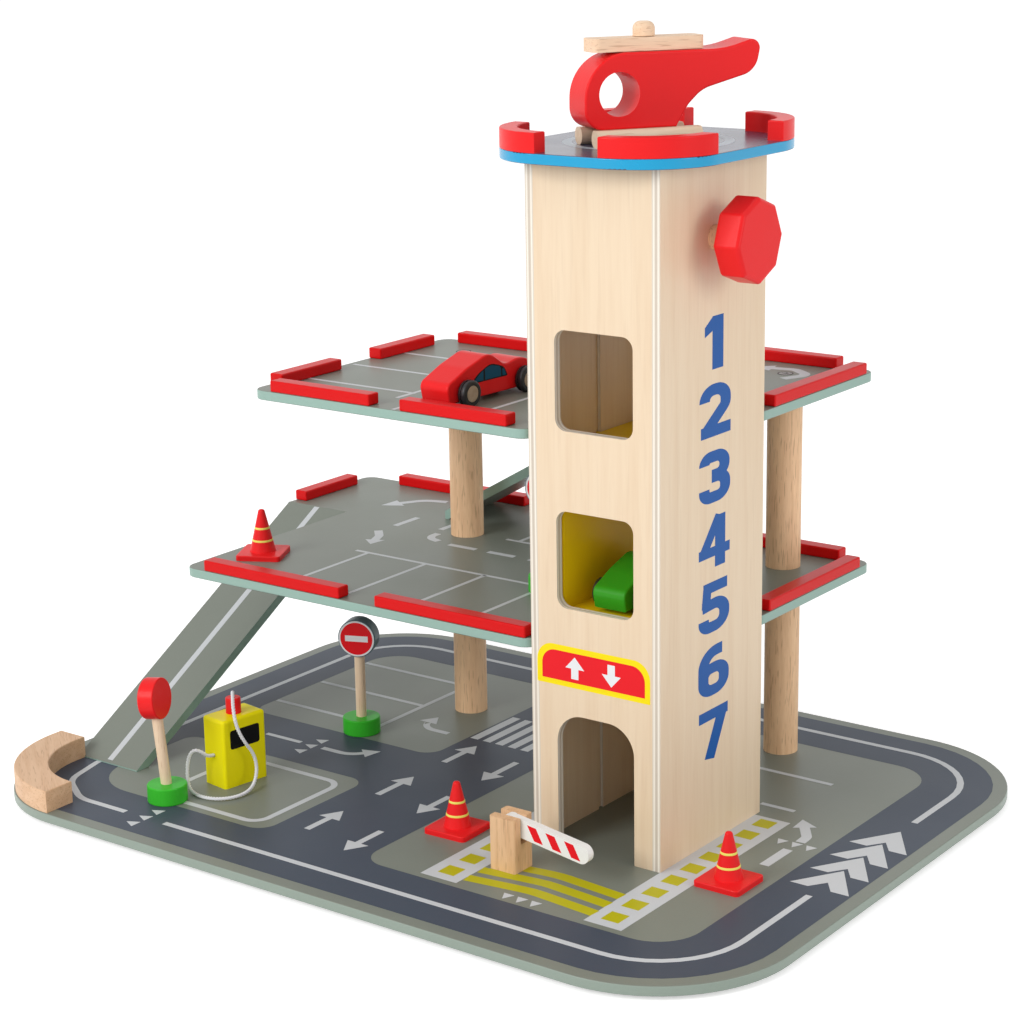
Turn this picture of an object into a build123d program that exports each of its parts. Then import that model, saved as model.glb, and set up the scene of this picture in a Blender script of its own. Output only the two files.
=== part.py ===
from build123d import *
import math
import os

# Toy parking garage with a hand-wound lift: a base board, a ply lift tower with a helipad on top,
# two parking decks, two ramps, and the loose cars, signs, cones, fuel pump and helicopter.
# Millimetres, +Z up, X along the tower's front face, Y to the back. The origin is the centre of the
# object's footprint on the table.

os.makedirs("parts", exist_ok=True)

# ---------------------------------------------------------------- driving dimensions
RUN_GAP = 0.05          # radial clearance of a turning shaft
PART_GAP = 0.3          # clearance between pieces that move past each other

# base board and its feet
BASE_L = 544.8
BASE_D = 413.8
BOARD_T = 6.0           # all painted boards
BASE_R_RIGHT = 84.5
BASE_R_LEFT = 73.5
EDGE_SOFT = 0.8         # rounded arris of the painted boards
FOOT_H = 2.5
FOOT_R = 7.0
FOOT_INSET = 12.0
GROUND = FOOT_H + BOARD_T

# corner bumper on the base
BUFFER_R_OUT = 72.5
BUFFER_R_IN = 51.0
BUFFER_H = 14.0
BUFFER_TAIL = 9.0       # straight run at its back end

# lift tower
TOWER_X = 114.8
TOWER_Y = -16.95
TOWER_W = 88.0
TOWER_D = 109.9
TOWER_H = 398.0
WALL = 5.3
WINDOW_W = 51.9
WINDOW_H = 57.0
WINDOW_R = 7.0
WINDOW_X = 115.2
WINDOW_LOW_Z = 183.0
WINDOW_HIGH_Z = 286.1
DOOR_W = 52.8
DOOR_TOP_Z = 91.2
DOOR_R = 17.5
EXIT_H = 66.0           # doorways at the back, one for each deck
GROOVE_W = 4.6
GROOVE_DEPTH = 2.0
GROOVE_Y = -10.0
GROOVE_TOP_Z = 351.0

# winding shaft, knob and string
SHAFT_R = 6.9
SHAFT_DROP = 42.9       # the shaft's axis below the tower's top
SHAFT_SEAT = 4.0        # depth of the blind bearing in the left panel
KNOB_R = 24.1
KNOB_T = 16.4
KNOB_OFF = 12.8         # from the tower's right face to the knob
KNOB_BORE = 10.0
KNOB_TURN = 2.5
KNOB_SOFT = 2.5
STRING_R = 0.6
WINDING_L = 16.0

# lift car
LIFT_T = 5.0
LIFT_FLOOR_Z = 151.1    # top of the floor where the lift rests in the photo
LIFT_INNER_H = 86.5
LIFT_INNER_W = 50.2
LIFT_SIDE_GAP = 0.7
LIFT_END_GAP = 1.5
TONGUE_GAP = 0.4

# helipad
PAD_L = 133.0
PAD_D = 160.0
PAD_R = 46.0
PAD_SHIFT = (-4.5, 7.9)  # from the tower's middle to the pad's
CURB_W = 10.0
CURB_H = 11.0
CURB_SOFT = 0.8

# decks
LOWER_Z = 126.0         # underside of the lower deck
UPPER_Z = 249.5
DECK_FRONT = -73.5
DECK_BACK = 175.4
DECK_RIGHT = 158.4
LOWER_LEFT = -202.9
LOWER_LEFT_BACK = -254.8
LOWER_STEP_Y = 87.4
UPPER_LEFT = -137.3
UPPER_BACK_LEFT = 119.9
UPPER_BACK_MID = 109.4
UPPER_STEP_X = -39.2
UPPER_LANE_X = 70.8
DECK_R = 9.0
STEP_R = 3.0

# columns between base, lower deck and upper deck
COLUMN_R = 11.0
COLUMN_LEFT = (-98.0, 88.9)
COLUMN_RIGHT = (115.4, 137.7)

# ramps
RAMP_SLOPE = 30.0
RAMP_LIP = 0.8          # thickness left at the lower ramp's feathered foot
UPPER_RAMP_LIP = 5.4    # the upper ramp's foot is cut blunt
UPPER_RAMP_Y = (110.7, 162.2)

# guard rails
RAIL_W = 10.0
RAIL_H = 7.0
RAIL_SOFT = 1.0
RAIL_LONG = 112.0
RAIL_MEDIUM = 77.5
RAIL_SHORT = 57.0
LOWER_RAIL_GAPS = {      # from the named deck edge to the rail's end
    "front_left": 17.9,
    "front_tower": 3.9,
    "back_left": 35.9,
    "back_right": 18.4,
    "right_back": 15.3,
    "left_step": 6.7,
}
UPPER_RAIL_GAPS = {
    "front_left": 15.55,
    "front_tower": 14.55,
    "back_left": 17.95,
    "back_right": 22.8,
    "right_back": 12.0,
    "left_front": 17.5,
    "left_back": 23.6,
}

# barrier
POST_X = 83.4
POST_Y = -111.8
POST_L = 18.0
POST_D = 17.6
POST_H = 32.4
POST_R = 1.5
ARM_T = 5.0
ARM_H = 10.8
ARM_L = 60.8
ARM_GAP = 0.4
ARM_TILT = -8.3
ARM_PIVOT_X = 84.1
ARM_PIVOT_Z = 35.6
ARM_PIVOT_BACK = 5.6    # from the pivot to the arm's near end
ARM_PIN_R = 1.8
ARM_SLOT_Z = 25.0

# helicopter
HELI_T = 24.0
HELI_HEADING = 237.0
HELI_WINDOW_R = 12.0
HELI_WINDOW_S = 21.4
HELI_WINDOW_UP = 18.9
HELI_SOFT = 1.2
SKID_R = 5.2
SKID_H = 9.4
SKID_L = 62.0
SKID_HALF_TRACK = 12.0
SKID_FLAT = 0.4         # depth of the flat that a skid stands on
SKID_S = 5.0            # the skids' middle along the body
ROTOR_L = 66.0
ROTOR_W = 18.0
ROTOR_T = 7.2
ROTOR_LIFT = 0.3
ROTOR_SOFT = 4.0
ROTOR_S = 2.0           # the rotor pin's place along the body
PIN_HEAD_R = 6.1
PIN_HEAD_H = 8.0
PIN_R = 3.0
PIN_DEPTH = 12.0
HELI_H = 41.0           # body height at the rotor
HELI_TAIL_UP = 6.5
HELI_CORNERS = [         # side view, nose at +X and underside at 0: each corner with its radius
    ((-12.5, 0), 0),
    ((41.6, 0), 11),
    ((41.6, HELI_H), 25),
    ((-42, HELI_H), 60),
    ((-64.5, HELI_H + HELI_TAIL_UP), 5),
    ((-60.5, 28), 12),
    ((-28, 19.5), 20),
    ((-19.5, 11.5), 15),
]

# cars
CAR_W = 22.0
CAR_FLOOR = 3.0
CAR_SOFT = 1.2
CAR_CORNERS = [          # side view: X is 0 midway between the axles and points to the nose
    ((-37.8, CAR_FLOOR), 0),
    ((39.8, CAR_FLOOR), 0),
    ((42.3, 14.2), 5),
    ((24, 22.2), 30),
    ((3.5, 28.6), 12),
    ((-11, 18.8), 10),
    ((-27, 22.3), 20),
    ((-37.5, 15.5), 6),
    ((-38.5, 6), 4),
]
WHEEL_BASE = 52.0
TYRE_R = 8.0
TYRE_W = 5.6
HUB_R = 5.0
WHEEL_GAP = 0.4
AXLE_R = 1.5
TYRE_GROOVE = 0.5
TYRE_GROOVE_W = 0.8
TYRE_SOFT = 1.4
HUB_SOFT = 0.5
RED_CAR = (-5.6, -15.2, -93.9)      # x, y of the middle between its axles, and heading
GREEN_CAR = (116.5, -18.8, -90.0)

# fuel pump
PUMP_W = 20.6
PUMP_D = 33.6
PUMP_H = 44.5
PUMP_TURN = -9.0
PUMP_X = -141.7
PUMP_Y = -98.1
PUMP_SOFT = 2.0
NOZZLE_R = 4.8
NOZZLE_H = 10.0
HOSE_R = 1.2
HOSE_HOLE_Z = 28.9
HOSE_SEAT = 3.0         # how far the hose goes into the pump and the nozzle
HOSE_EXIT = 4.6         # how far it runs straight out of them

# signs
SIGN_BASE_R = 12.4
SIGN_BASE_H = 11.0
SIGN_POLE_R = 3.4
SIGN_DISC_R = 12.8
SIGN_DISC_T = 10.5
SIGN_DISC_H = 66.0      # the disc's centre above the surface
SIGN_SEAT = 5.0
SIGN_SOFT = 0.8
# x, y, surface, direction the disc faces, lean and the direction it leans in
SIGNS = {
    "entry_sign": (-152.9, -148.3, GROUND, 17.5, 5.0, 200.0),
    "no_entry_sign": (-131.2, 12.6, GROUND, -68.0, 0.0, 0.0),
    "deck_sign": (24.1, 10.8, LOWER_Z + BOARD_T, -75.0, 0.0, 0.0),
}

# cones
CONE_BASE = 29.5
CONE_BASE_T = 3.4
CONE_H = 31.0
CONE_R = 8.4
CONE_TIP_R = 1.9
CONE_CORNER = 2.5
# x, y, surface, turn
CONES = {
    "right_cone": (197.8, -62.0, GROUND, 0.0),
    "door_cone": (25.0, -86.4, GROUND, 2.0),
    "deck_cone": (-177.3, -25.8, LOWER_Z + BOARD_T, 27.0),
}

# hose route from the pump's side to the top of the nozzle, as it lies in the photo
HOSE_ROUTE = [
    (-146.4, -123.0, 33.0),
    (-149.9, -125.6, 34.8),
    (-153.4, -126.8, 31.8),
    (-155.2, -127.6, 25.0),
    (-155.2, -128.2, 17.6),
    (-152.4, -130.2, 11.8),
    (-146.4, -133.2, 9.9),
    (-137.0, -135.8, 9.9),
    (-125.8, -133.8, 9.9),
    (-118.4, -125.4, 9.9),
    (-117.2, -114.0, 10.2),
    (-119.8, -104.8, 13.0),
    (-122.6, -99.4, 20.5),
    (-123.2, -101.4, 30.6),
    (-124.4, -108.4, 40.2),
    (-126.8, -112.0, 50.5),
    (-131.2, -109.4, 60.2),
    (-136.2, -104.0, 66.4),
]

# ---------------------------------------------------------------- places worked out from the sizes
LEFT_X = TOWER_X - TOWER_W / 2
RIGHT_X = TOWER_X + TOWER_W / 2
FRONT_Y = TOWER_Y - TOWER_D / 2
BACK_Y = TOWER_Y + TOWER_D / 2
TOWER_TOP = GROUND + TOWER_H
PAD_TOP = TOWER_TOP + BOARD_T
SHAFT_Z = TOWER_TOP - SHAFT_DROP
LOWER_TOP = LOWER_Z + BOARD_T
UPPER_TOP = UPPER_Z + BOARD_T
LIFT_ROOF_Z = LIFT_FLOOR_Z + LIFT_INNER_H + LIFT_T
WINDING_R = SHAFT_R + 2 * STRING_R
STRING_Y = TOWER_Y + WINDING_R + PART_GAP + STRING_R


# ---------------------------------------------------------------- helpers
def put(name, *solids):
    """Writes the solids of one sub-part to its own file."""
    shape = solids[0] if len(solids) == 1 else Compound(label=name, children=list(solids))
    shape.label = name
    export_step(shape, f"parts/{name}.step")


def board(outline, z, thick):
    """A flat board: the outline is drawn at height z and made thick upwards."""
    return extrude(Plane.XY.offset(z) * outline, thick, dir=(0, 0, 1))


def slab(plane, outline, thick):
    """One block with the outline as its side view and the plane in its middle."""
    return extrude(plane.offset(-thick / 2) * outline, thick, dir=plane.z_dir)


def soften(solid, radius, low, high):
    """Rounds the outer edges that lie at the heights low and high."""
    edges = solid.edges().filter_by_position(Axis.Z, low - 0.01, low + 0.01)
    edges += solid.edges().filter_by_position(Axis.Z, high - 0.01, high + 0.01)
    return fillet(edges, radius)


def rounded_polygon(points, radii):
    """A closed outline with its own radius at each corner, where 0 leaves it sharp."""
    face = Face(Wire.make_polygon([Vector(x, y, 0) for x, y in points]))
    sketch = Sketch() + face
    for (x, y), radius in zip(points, radii):
        if radius > 0:
            vertex = sketch.vertices().sort_by_distance(Vector(x, y, 0))[0]
            sketch = fillet(vertex, radius)
    return sketch


def box_between(low, high):
    """A box from its two opposite corners."""
    size = [b - a for a, b in zip(low, high)]
    mid = [(a + b) / 2 for a, b in zip(low, high)]
    return Pos(*mid) * Box(*size)


# ---------------------------------------------------------------- base
def base_board():
    half_l = BASE_L / 2
    half_d = BASE_D / 2
    points = [(-half_l, -half_d), (half_l, -half_d), (half_l, half_d), (-half_l, half_d)]
    outline = rounded_polygon(points, [BASE_R_LEFT, BASE_R_RIGHT, BASE_R_RIGHT, BASE_R_LEFT])
    solid = board(outline, FOOT_H, BOARD_T)
    put("base_board", soften(solid, EDGE_SOFT, FOOT_H, GROUND))


def rubber_feet():
    """Six clear feet: one near each end of the long edges, and one in the middle of each."""
    reach_y = BASE_D / 2 - FOOT_INSET
    end_x = BASE_L / 2 - BASE_R_RIGHT
    side_x = BASE_L / 2 - FOOT_INSET
    side_y = BASE_D / 2 - BASE_R_RIGHT
    places = [(x, y) for x in (-end_x, end_x) for y in (-reach_y, reach_y)]
    places += [(x, y) for x in (-side_x, side_x) for y in (-side_y, side_y)]
    feet = []
    for x, y in places:
        foot = Pos(x, y, FOOT_H / 2) * Cylinder(FOOT_R, FOOT_H)
        rim = foot.edges().filter_by(GeomType.CIRCLE).sort_by(Axis.Z)[0]
        feet.append(fillet(rim, EDGE_SOFT))
    put("rubber_feet", *feet)


def corner_buffer():
    """Quarter ring that keeps the cars on the base at its front left corner."""
    centre_x = -BASE_L / 2 + BASE_R_LEFT
    centre_y = -BASE_D / 2 + BASE_R_LEFT
    ring = Circle(BUFFER_R_OUT) - Circle(BUFFER_R_IN)
    quarter = ring & (Pos(-BUFFER_R_OUT / 2, -BUFFER_R_OUT / 2) * Rectangle(BUFFER_R_OUT, BUFFER_R_OUT))
    wall = BUFFER_R_OUT - BUFFER_R_IN
    quarter += Pos(-BUFFER_R_OUT + wall / 2, BUFFER_TAIL / 2) * Rectangle(wall, BUFFER_TAIL)
    solid = board(Pos(centre_x, centre_y) * quarter, GROUND, BUFFER_H)
    put("corner_buffer", soften(solid, EDGE_SOFT, GROUND + BUFFER_H, GROUND + BUFFER_H))


# ---------------------------------------------------------------- tower
def door_cut(x, y, low, high, width, radius):
    """A doorway with its two upper corners rounded."""
    half = width / 2
    points = [(-half, low), (half, low), (half, high), (-half, high)]
    outline = rounded_polygon(points, [0, 0, radius, radius])
    return extrude(Plane(origin=(x, y, 0), x_dir=(1, 0, 0), z_dir=(0, -1, 0)) * outline, 2 * WALL, both=True)


def window_cut(z):
    outline = RectangleRounded(WINDOW_W, WINDOW_H, WINDOW_R)
    plane = Plane(origin=(WINDOW_X, FRONT_Y, z), x_dir=(1, 0, 0), z_dir=(0, -1, 0))
    return extrude(plane * outline, 2 * WALL, both=True)


def tower_front_panel():
    low = (LEFT_X + WALL, FRONT_Y, GROUND)
    high = (RIGHT_X - WALL, FRONT_Y + WALL, TOWER_TOP)
    panel = box_between(low, high)
    panel -= window_cut(WINDOW_LOW_Z)
    panel -= window_cut(WINDOW_HIGH_Z)
    panel -= door_cut(TOWER_X, FRONT_Y, GROUND - BOARD_T, DOOR_TOP_Z, DOOR_W, DOOR_R)
    put("tower_front_panel", panel)


def tower_back_panel():
    low = (LEFT_X + WALL, BACK_Y - WALL, GROUND)
    high = (RIGHT_X - WALL, BACK_Y, TOWER_TOP)
    panel = box_between(low, high)
    for deck in (LOWER_TOP, UPPER_TOP):
        panel -= door_cut(TOWER_X, BACK_Y, deck, deck + EXIT_H, DOOR_W, DOOR_R)
    put("tower_back_panel", panel)


def guide_groove(x):
    low = (x - GROOVE_DEPTH, GROOVE_Y - GROOVE_W / 2, GROUND - BOARD_T)
    high = (x + GROOVE_DEPTH, GROOVE_Y + GROOVE_W / 2, GROOVE_TOP_Z)
    return box_between(low, high)


def shaft_hole(low_x, high_x):
    centre = ((low_x + high_x) / 2, TOWER_Y, SHAFT_Z)
    return Pos(*centre) * Rot(0, 90, 0) * Cylinder(SHAFT_R + RUN_GAP, high_x - low_x)


def tower_side_panels():
    inner_left = LEFT_X + WALL
    inner_right = RIGHT_X - WALL
    left = box_between((LEFT_X, FRONT_Y, GROUND), (inner_left, BACK_Y, TOWER_TOP))
    left -= guide_groove(inner_left)
    left -= shaft_hole(inner_left - SHAFT_SEAT, inner_left + WALL)
    put("tower_left_panel", left)
    right = box_between((inner_right, FRONT_Y, GROUND), (RIGHT_X, BACK_Y, TOWER_TOP))
    right -= guide_groove(inner_right)
    right -= shaft_hole(inner_right - WALL, RIGHT_X + WALL)
    put("tower_right_panel", right)


# ---------------------------------------------------------------- lift
def lift_shaft():
    low_x = LEFT_X + WALL - SHAFT_SEAT + PART_GAP
    high_x = RIGHT_X + KNOB_OFF + KNOB_BORE
    shaft = Pos((low_x + high_x) / 2, TOWER_Y, SHAFT_Z) * Rot(0, 90, 0) * Cylinder(SHAFT_R, high_x - low_x)
    put("lift_shaft", shaft)


def lift_knob():
    low_x = RIGHT_X + KNOB_OFF
    plane = Plane(origin=(low_x, TOWER_Y, SHAFT_Z), x_dir=(0, 1, 0), z_dir=(1, 0, 0))
    octagon = Rot(0, 0, KNOB_TURN) * RegularPolygon(KNOB_R, 8)
    knob = extrude(plane * octagon, KNOB_T)
    knob = fillet(knob.edges(), KNOB_SOFT)
    knob -= extrude(plane * Circle(SHAFT_R), KNOB_BORE)
    put("lift_knob", knob)


def hoist_string():
    """The hanging string, and the layer of it wound on the shaft."""
    length = SHAFT_Z - LIFT_ROOF_Z
    put("hoist_string", Pos(TOWER_X, STRING_Y, LIFT_ROOF_Z + length / 2) * Cylinder(STRING_R, length))
    winding = Cylinder(WINDING_R, WINDING_L) - Cylinder(SHAFT_R, WINDING_L)
    put("string_winding", Pos(TOWER_X, TOWER_Y, SHAFT_Z) * Rot(0, 90, 0) * winding)


def lift_board(top_z):
    """Floor or roof of the lift car, with a tongue at each side that runs in the tower's grooves."""
    half = TOWER_W / 2 - WALL - LIFT_SIDE_GAP
    front = FRONT_Y + WALL + LIFT_END_GAP
    back = BACK_Y - WALL - LIFT_END_GAP
    plate = box_between((TOWER_X - half, front, top_z - LIFT_T), (TOWER_X + half, back, top_z))
    reach = TOWER_W / 2 - WALL + GROOVE_DEPTH - TONGUE_GAP
    half_tongue = GROOVE_W / 2 - TONGUE_GAP
    tongue = box_between(
        (TOWER_X - reach, GROOVE_Y - half_tongue, top_z - LIFT_T),
        (TOWER_X + reach, GROOVE_Y + half_tongue, top_z),
    )
    return plate + tongue


def lift_car():
    put("lift_floor", lift_board(LIFT_FLOOR_Z))
    put("lift_roof", lift_board(LIFT_ROOF_Z))
    front = FRONT_Y + WALL + LIFT_END_GAP
    back = BACK_Y - WALL - LIFT_END_GAP
    for name, side in (("lift_left_wall", -1), ("lift_right_wall", 1)):
        inner = TOWER_X + side * LIFT_INNER_W / 2
        outer = inner + side * LIFT_T
        low = (min(inner, outer), front, LIFT_FLOOR_Z)
        high = (max(inner, outer), back, LIFT_FLOOR_Z + LIFT_INNER_H)
        put(name, box_between(low, high))


# ---------------------------------------------------------------- helipad
def helipad():
    pad_x = TOWER_X + PAD_SHIFT[0]
    pad_y = TOWER_Y + PAD_SHIFT[1]
    plate = Pos(pad_x, pad_y) * RectangleRounded(PAD_L, PAD_D, PAD_R)
    put("helipad_plate", soften(board(plate, TOWER_TOP, BOARD_T), EDGE_SOFT, TOWER_TOP, PAD_TOP))
    curbs = []
    for sx, sy in ((-1, -1), (1, -1), (1, 1), (-1, 1)):
        ring = Circle(PAD_R) - Circle(PAD_R - CURB_W)
        quarter = ring & (Pos(sx * PAD_R / 2, sy * PAD_R / 2) * Rectangle(PAD_R, PAD_R))
        centre_x = pad_x + sx * (PAD_L / 2 - PAD_R)
        centre_y = pad_y + sy * (PAD_D / 2 - PAD_R)
        curb = board(Pos(centre_x, centre_y) * quarter, PAD_TOP, CURB_H)
        curbs.append(soften(curb, CURB_SOFT, PAD_TOP + CURB_H, PAD_TOP + CURB_H))
    put("helipad_curbs", *curbs)


# ---------------------------------------------------------------- decks, columns and ramps
def lower_deck():
    points = [
        (LOWER_LEFT, DECK_FRONT),
        (LEFT_X, DECK_FRONT),
        (LEFT_X, BACK_Y),
        (DECK_RIGHT, BACK_Y),
        (DECK_RIGHT, DECK_BACK),
        (LOWER_LEFT_BACK, DECK_BACK),
        (LOWER_LEFT_BACK, LOWER_STEP_Y),
        (LOWER_LEFT, LOWER_STEP_Y),
    ]
    radii = [DECK_R, DECK_R, 0, STEP_R, DECK_R, DECK_R, 0, 0]
    deck = board(rounded_polygon(points, radii), LOWER_Z, BOARD_T)
    put("lower_deck", soften(deck, EDGE_SOFT, LOWER_Z, LOWER_TOP))


def upper_deck():
    points = [
        (UPPER_LEFT, DECK_FRONT),
        (LEFT_X, DECK_FRONT),
        (LEFT_X, BACK_Y),
        (DECK_RIGHT, BACK_Y),
        (DECK_RIGHT, DECK_BACK),
        (UPPER_LANE_X, DECK_BACK),
        (UPPER_LANE_X, UPPER_BACK_MID),
        (UPPER_STEP_X, UPPER_BACK_MID),
        (UPPER_STEP_X, UPPER_BACK_LEFT),
        (UPPER_LEFT, UPPER_BACK_LEFT),
    ]
    radii = [DECK_R, DECK_R, 0, STEP_R, DECK_R, 0, 0, 0, DECK_R, DECK_R]
    deck = board(rounded_polygon(points, radii), UPPER_Z, BOARD_T)
    put("upper_deck", soften(deck, EDGE_SOFT, UPPER_Z, UPPER_TOP))


def columns():
    for name, low, high in (("lower_columns", GROUND, LOWER_Z), ("upper_columns", LOWER_TOP, UPPER_Z)):
        height = high - low
        posts = []
        for x, y in (COLUMN_LEFT, COLUMN_RIGHT):
            posts.append(Pos(x, y, low + height / 2) * Cylinder(COLUMN_R, height))
        put(name, *posts)


def ramp_profile(rise, lip):
    """Side view of a ramp board: its foot is at 0, its head stands upright at the deck's edge."""
    run = (rise - lip) / math.tan(math.radians(RAMP_SLOPE))
    drop = BOARD_T / math.cos(math.radians(RAMP_SLOPE))
    foot = (drop - lip) / math.tan(math.radians(RAMP_SLOPE))
    return [(0, 0), (foot, 0), (run, rise - drop), (run, rise), (0, lip)], run


def ramps():
    points, run = ramp_profile(LOWER_TOP - GROUND, RAMP_LIP)
    lower_x = (LOWER_LEFT_BACK, LOWER_LEFT)
    plane = Plane(origin=(lower_x[0], LOWER_STEP_Y - run, GROUND), x_dir=(0, 1, 0), z_dir=(1, 0, 0))
    face = Face(Wire.make_polygon([Vector(u, v, 0) for u, v in points]))
    put("lower_ramp", extrude(plane * face, lower_x[1] - lower_x[0], dir=plane.z_dir))
    points, run = ramp_profile(UPPER_TOP - LOWER_TOP, UPPER_RAMP_LIP)
    plane = Plane(origin=(UPPER_LANE_X - run, UPPER_RAMP_Y[1], LOWER_TOP), x_dir=(1, 0, 0), z_dir=(0, -1, 0))
    face = Face(Wire.make_polygon([Vector(u, v, 0) for u, v in points]))
    put("upper_ramp", extrude(plane * face, UPPER_RAMP_Y[1] - UPPER_RAMP_Y[0], dir=plane.z_dir))


# ---------------------------------------------------------------- guard rails
def rail(length, x, y, z, along_y):
    """One guard rail on a deck: x, y is the middle of its length and width."""
    size = (RAIL_W, length, RAIL_H) if along_y else (length, RAIL_W, RAIL_H)
    return fillet((Pos(x, y, z + RAIL_H / 2) * Box(*size)).edges(), RAIL_SOFT)


def after(edge, gap, length):
    """Middle of a rail whose end stands a gap inside a low edge."""
    return edge + gap + length / 2


def before(edge, gap, length):
    return edge - gap - length / 2


def lower_rails():
    half = RAIL_W / 2
    front = DECK_FRONT + half
    back = DECK_BACK - half
    gaps = LOWER_RAIL_GAPS
    put(
        "lower_long_rails",
        rail(RAIL_LONG, after(LOWER_LEFT, gaps["front_left"], RAIL_LONG), front, LOWER_TOP, False),
        rail(RAIL_LONG, before(LEFT_X, gaps["front_tower"], RAIL_LONG), front, LOWER_TOP, False),
        rail(RAIL_LONG, after(LOWER_LEFT_BACK, gaps["back_left"], RAIL_LONG), back, LOWER_TOP, False),
        rail(RAIL_LONG, before(DECK_RIGHT, gaps["back_right"], RAIL_LONG), back, LOWER_TOP, False),
        rail(RAIL_LONG, DECK_RIGHT - half, before(DECK_BACK, gaps["right_back"], RAIL_LONG), LOWER_TOP, True),
    )
    short_y = after(LOWER_STEP_Y, gaps["left_step"], RAIL_SHORT)
    put("lower_short_rail", rail(RAIL_SHORT, LOWER_LEFT_BACK + half, short_y, LOWER_TOP, True))


def upper_rails():
    half = RAIL_W / 2
    front = DECK_FRONT + half
    left = UPPER_LEFT + half
    gaps = UPPER_RAIL_GAPS
    right_y = before(DECK_BACK, gaps["right_back"], RAIL_LONG)
    put("upper_long_rail", rail(RAIL_LONG, DECK_RIGHT - half, right_y, UPPER_TOP, True))
    back_left_x = after(UPPER_LEFT, gaps["back_left"], RAIL_MEDIUM)
    back_right_x = before(DECK_RIGHT, gaps["back_right"], RAIL_MEDIUM)
    put(
        "upper_medium_rails",
        rail(RAIL_MEDIUM, after(UPPER_LEFT, gaps["front_left"], RAIL_MEDIUM), front, UPPER_TOP, False),
        rail(RAIL_MEDIUM, before(LEFT_X, gaps["front_tower"], RAIL_MEDIUM), front, UPPER_TOP, False),
        rail(RAIL_MEDIUM, back_left_x, UPPER_BACK_LEFT - half, UPPER_TOP, False),
        rail(RAIL_MEDIUM, back_right_x, DECK_BACK - half, UPPER_TOP, False),
    )
    put(
        "upper_short_rails",
        rail(RAIL_SHORT, left, after(DECK_FRONT, gaps["left_front"], RAIL_SHORT), UPPER_TOP, True),
        rail(RAIL_SHORT, left, before(UPPER_BACK_LEFT, gaps["left_back"], RAIL_SHORT), UPPER_TOP, True),
    )


# ---------------------------------------------------------------- barrier
def barrier():
    post = Pos(POST_X, POST_Y, GROUND + POST_H / 2) * Box(POST_L, POST_D, POST_H)
    post = fillet(post.edges().filter_by(Axis.Z), POST_R)
    slot_w = ARM_T + 2 * ARM_GAP
    slot_top = GROUND + POST_H + POST_R
    post -= box_between(
        (POST_X - POST_L, POST_Y - slot_w / 2, ARM_SLOT_Z),
        (POST_X + POST_L, POST_Y + slot_w / 2, slot_top),
    )
    pin_hole = Pos(ARM_PIVOT_X, POST_Y, ARM_PIVOT_Z) * Rot(90, 0, 0) * Cylinder(ARM_PIN_R, POST_D + 2)
    put("barrier_post", post - pin_hole)
    pin = Pos(ARM_PIVOT_X, POST_Y, ARM_PIVOT_Z) * Rot(90, 0, 0) * Cylinder(ARM_PIN_R, POST_D)
    put("barrier_pin", pin)
    reach = ARM_L - ARM_PIVOT_BACK
    straight = reach - ARM_H / 2
    arm = Pos(straight / 2, 0) * Rectangle(straight, ARM_H)
    arm += Pos(straight, 0) * Circle(ARM_H / 2)
    arm += Circle(ARM_PIVOT_BACK)
    arm -= Circle(ARM_PIN_R + RUN_GAP)
    plane = Plane(origin=(ARM_PIVOT_X, POST_Y, ARM_PIVOT_Z), x_dir=(1, 0, 0), z_dir=(0, -1, 0))
    put("barrier_arm", slab(plane, Rot(0, 0, ARM_TILT) * arm, ARM_T))


# ---------------------------------------------------------------- helicopter
def heli_place():
    """Local X points to the nose, local Z up, with the origin on the helipad's centre."""
    return Pos(TOWER_X, TOWER_Y, PAD_TOP) * Rot(0, 0, HELI_HEADING)


def corner_outline(corners):
    """A closed outline from corners that each carry their own radius."""
    return rounded_polygon([c[0] for c in corners], [c[1] for c in corners])


def helicopter():
    place = heli_place()
    side = Plane(origin=(0, 0, SKID_H), x_dir=(1, 0, 0), z_dir=(0, -1, 0))
    body = slab(side, corner_outline(HELI_CORNERS), HELI_T)
    rims = body.edges().filter_by(Plane.XZ)
    body = fillet(rims, HELI_SOFT)
    body -= extrude(side * (Pos(HELI_WINDOW_S, HELI_WINDOW_UP) * Circle(HELI_WINDOW_R)), HELI_T, both=True)
    top = SKID_H + HELI_H
    body -= Pos(ROTOR_S, 0, top - PIN_DEPTH / 2) * Cylinder(PIN_R, PIN_DEPTH)
    put("helicopter_body", place * body)
    skids = []
    for side_sign in (-1, 1):
        rod_place = Pos(SKID_S, side_sign * SKID_HALF_TRACK, SKID_R - SKID_FLAT) * Rot(0, 90, 0)
        rod = rod_place * Cylinder(SKID_R, SKID_L)
        keep = box_between((-2 * SKID_L, -HELI_T, 0), (2 * SKID_L, HELI_T, SKID_H))
        skids.append(place * (rod & keep))
    put("helicopter_skids", *skids)
    bar = Pos(ROTOR_S, 0) * RectangleRounded(ROTOR_L, ROTOR_W, ROTOR_SOFT)
    bar -= Pos(ROTOR_S, 0) * Circle(PIN_R + RUN_GAP)
    rotor = extrude(Plane.XY.offset(top + ROTOR_LIFT) * bar, ROTOR_T)
    put("rotor_bar", place * rotor)
    head_z = top + ROTOR_LIFT + ROTOR_T + PART_GAP
    shank_l = PIN_DEPTH + ROTOR_LIFT + ROTOR_T + PART_GAP
    pin = Pos(ROTOR_S, 0, top - PIN_DEPTH + shank_l / 2) * Cylinder(PIN_R, shank_l)
    head = Pos(ROTOR_S, 0, head_z + PIN_HEAD_H / 2) * Cylinder(PIN_HEAD_R, PIN_HEAD_H)
    crown = head.edges().filter_by(GeomType.CIRCLE).sort_by(Axis.Z)[-1]
    head = fillet(crown, PIN_HEAD_H / 2)
    put("rotor_pin", place * (pin + head))


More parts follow.
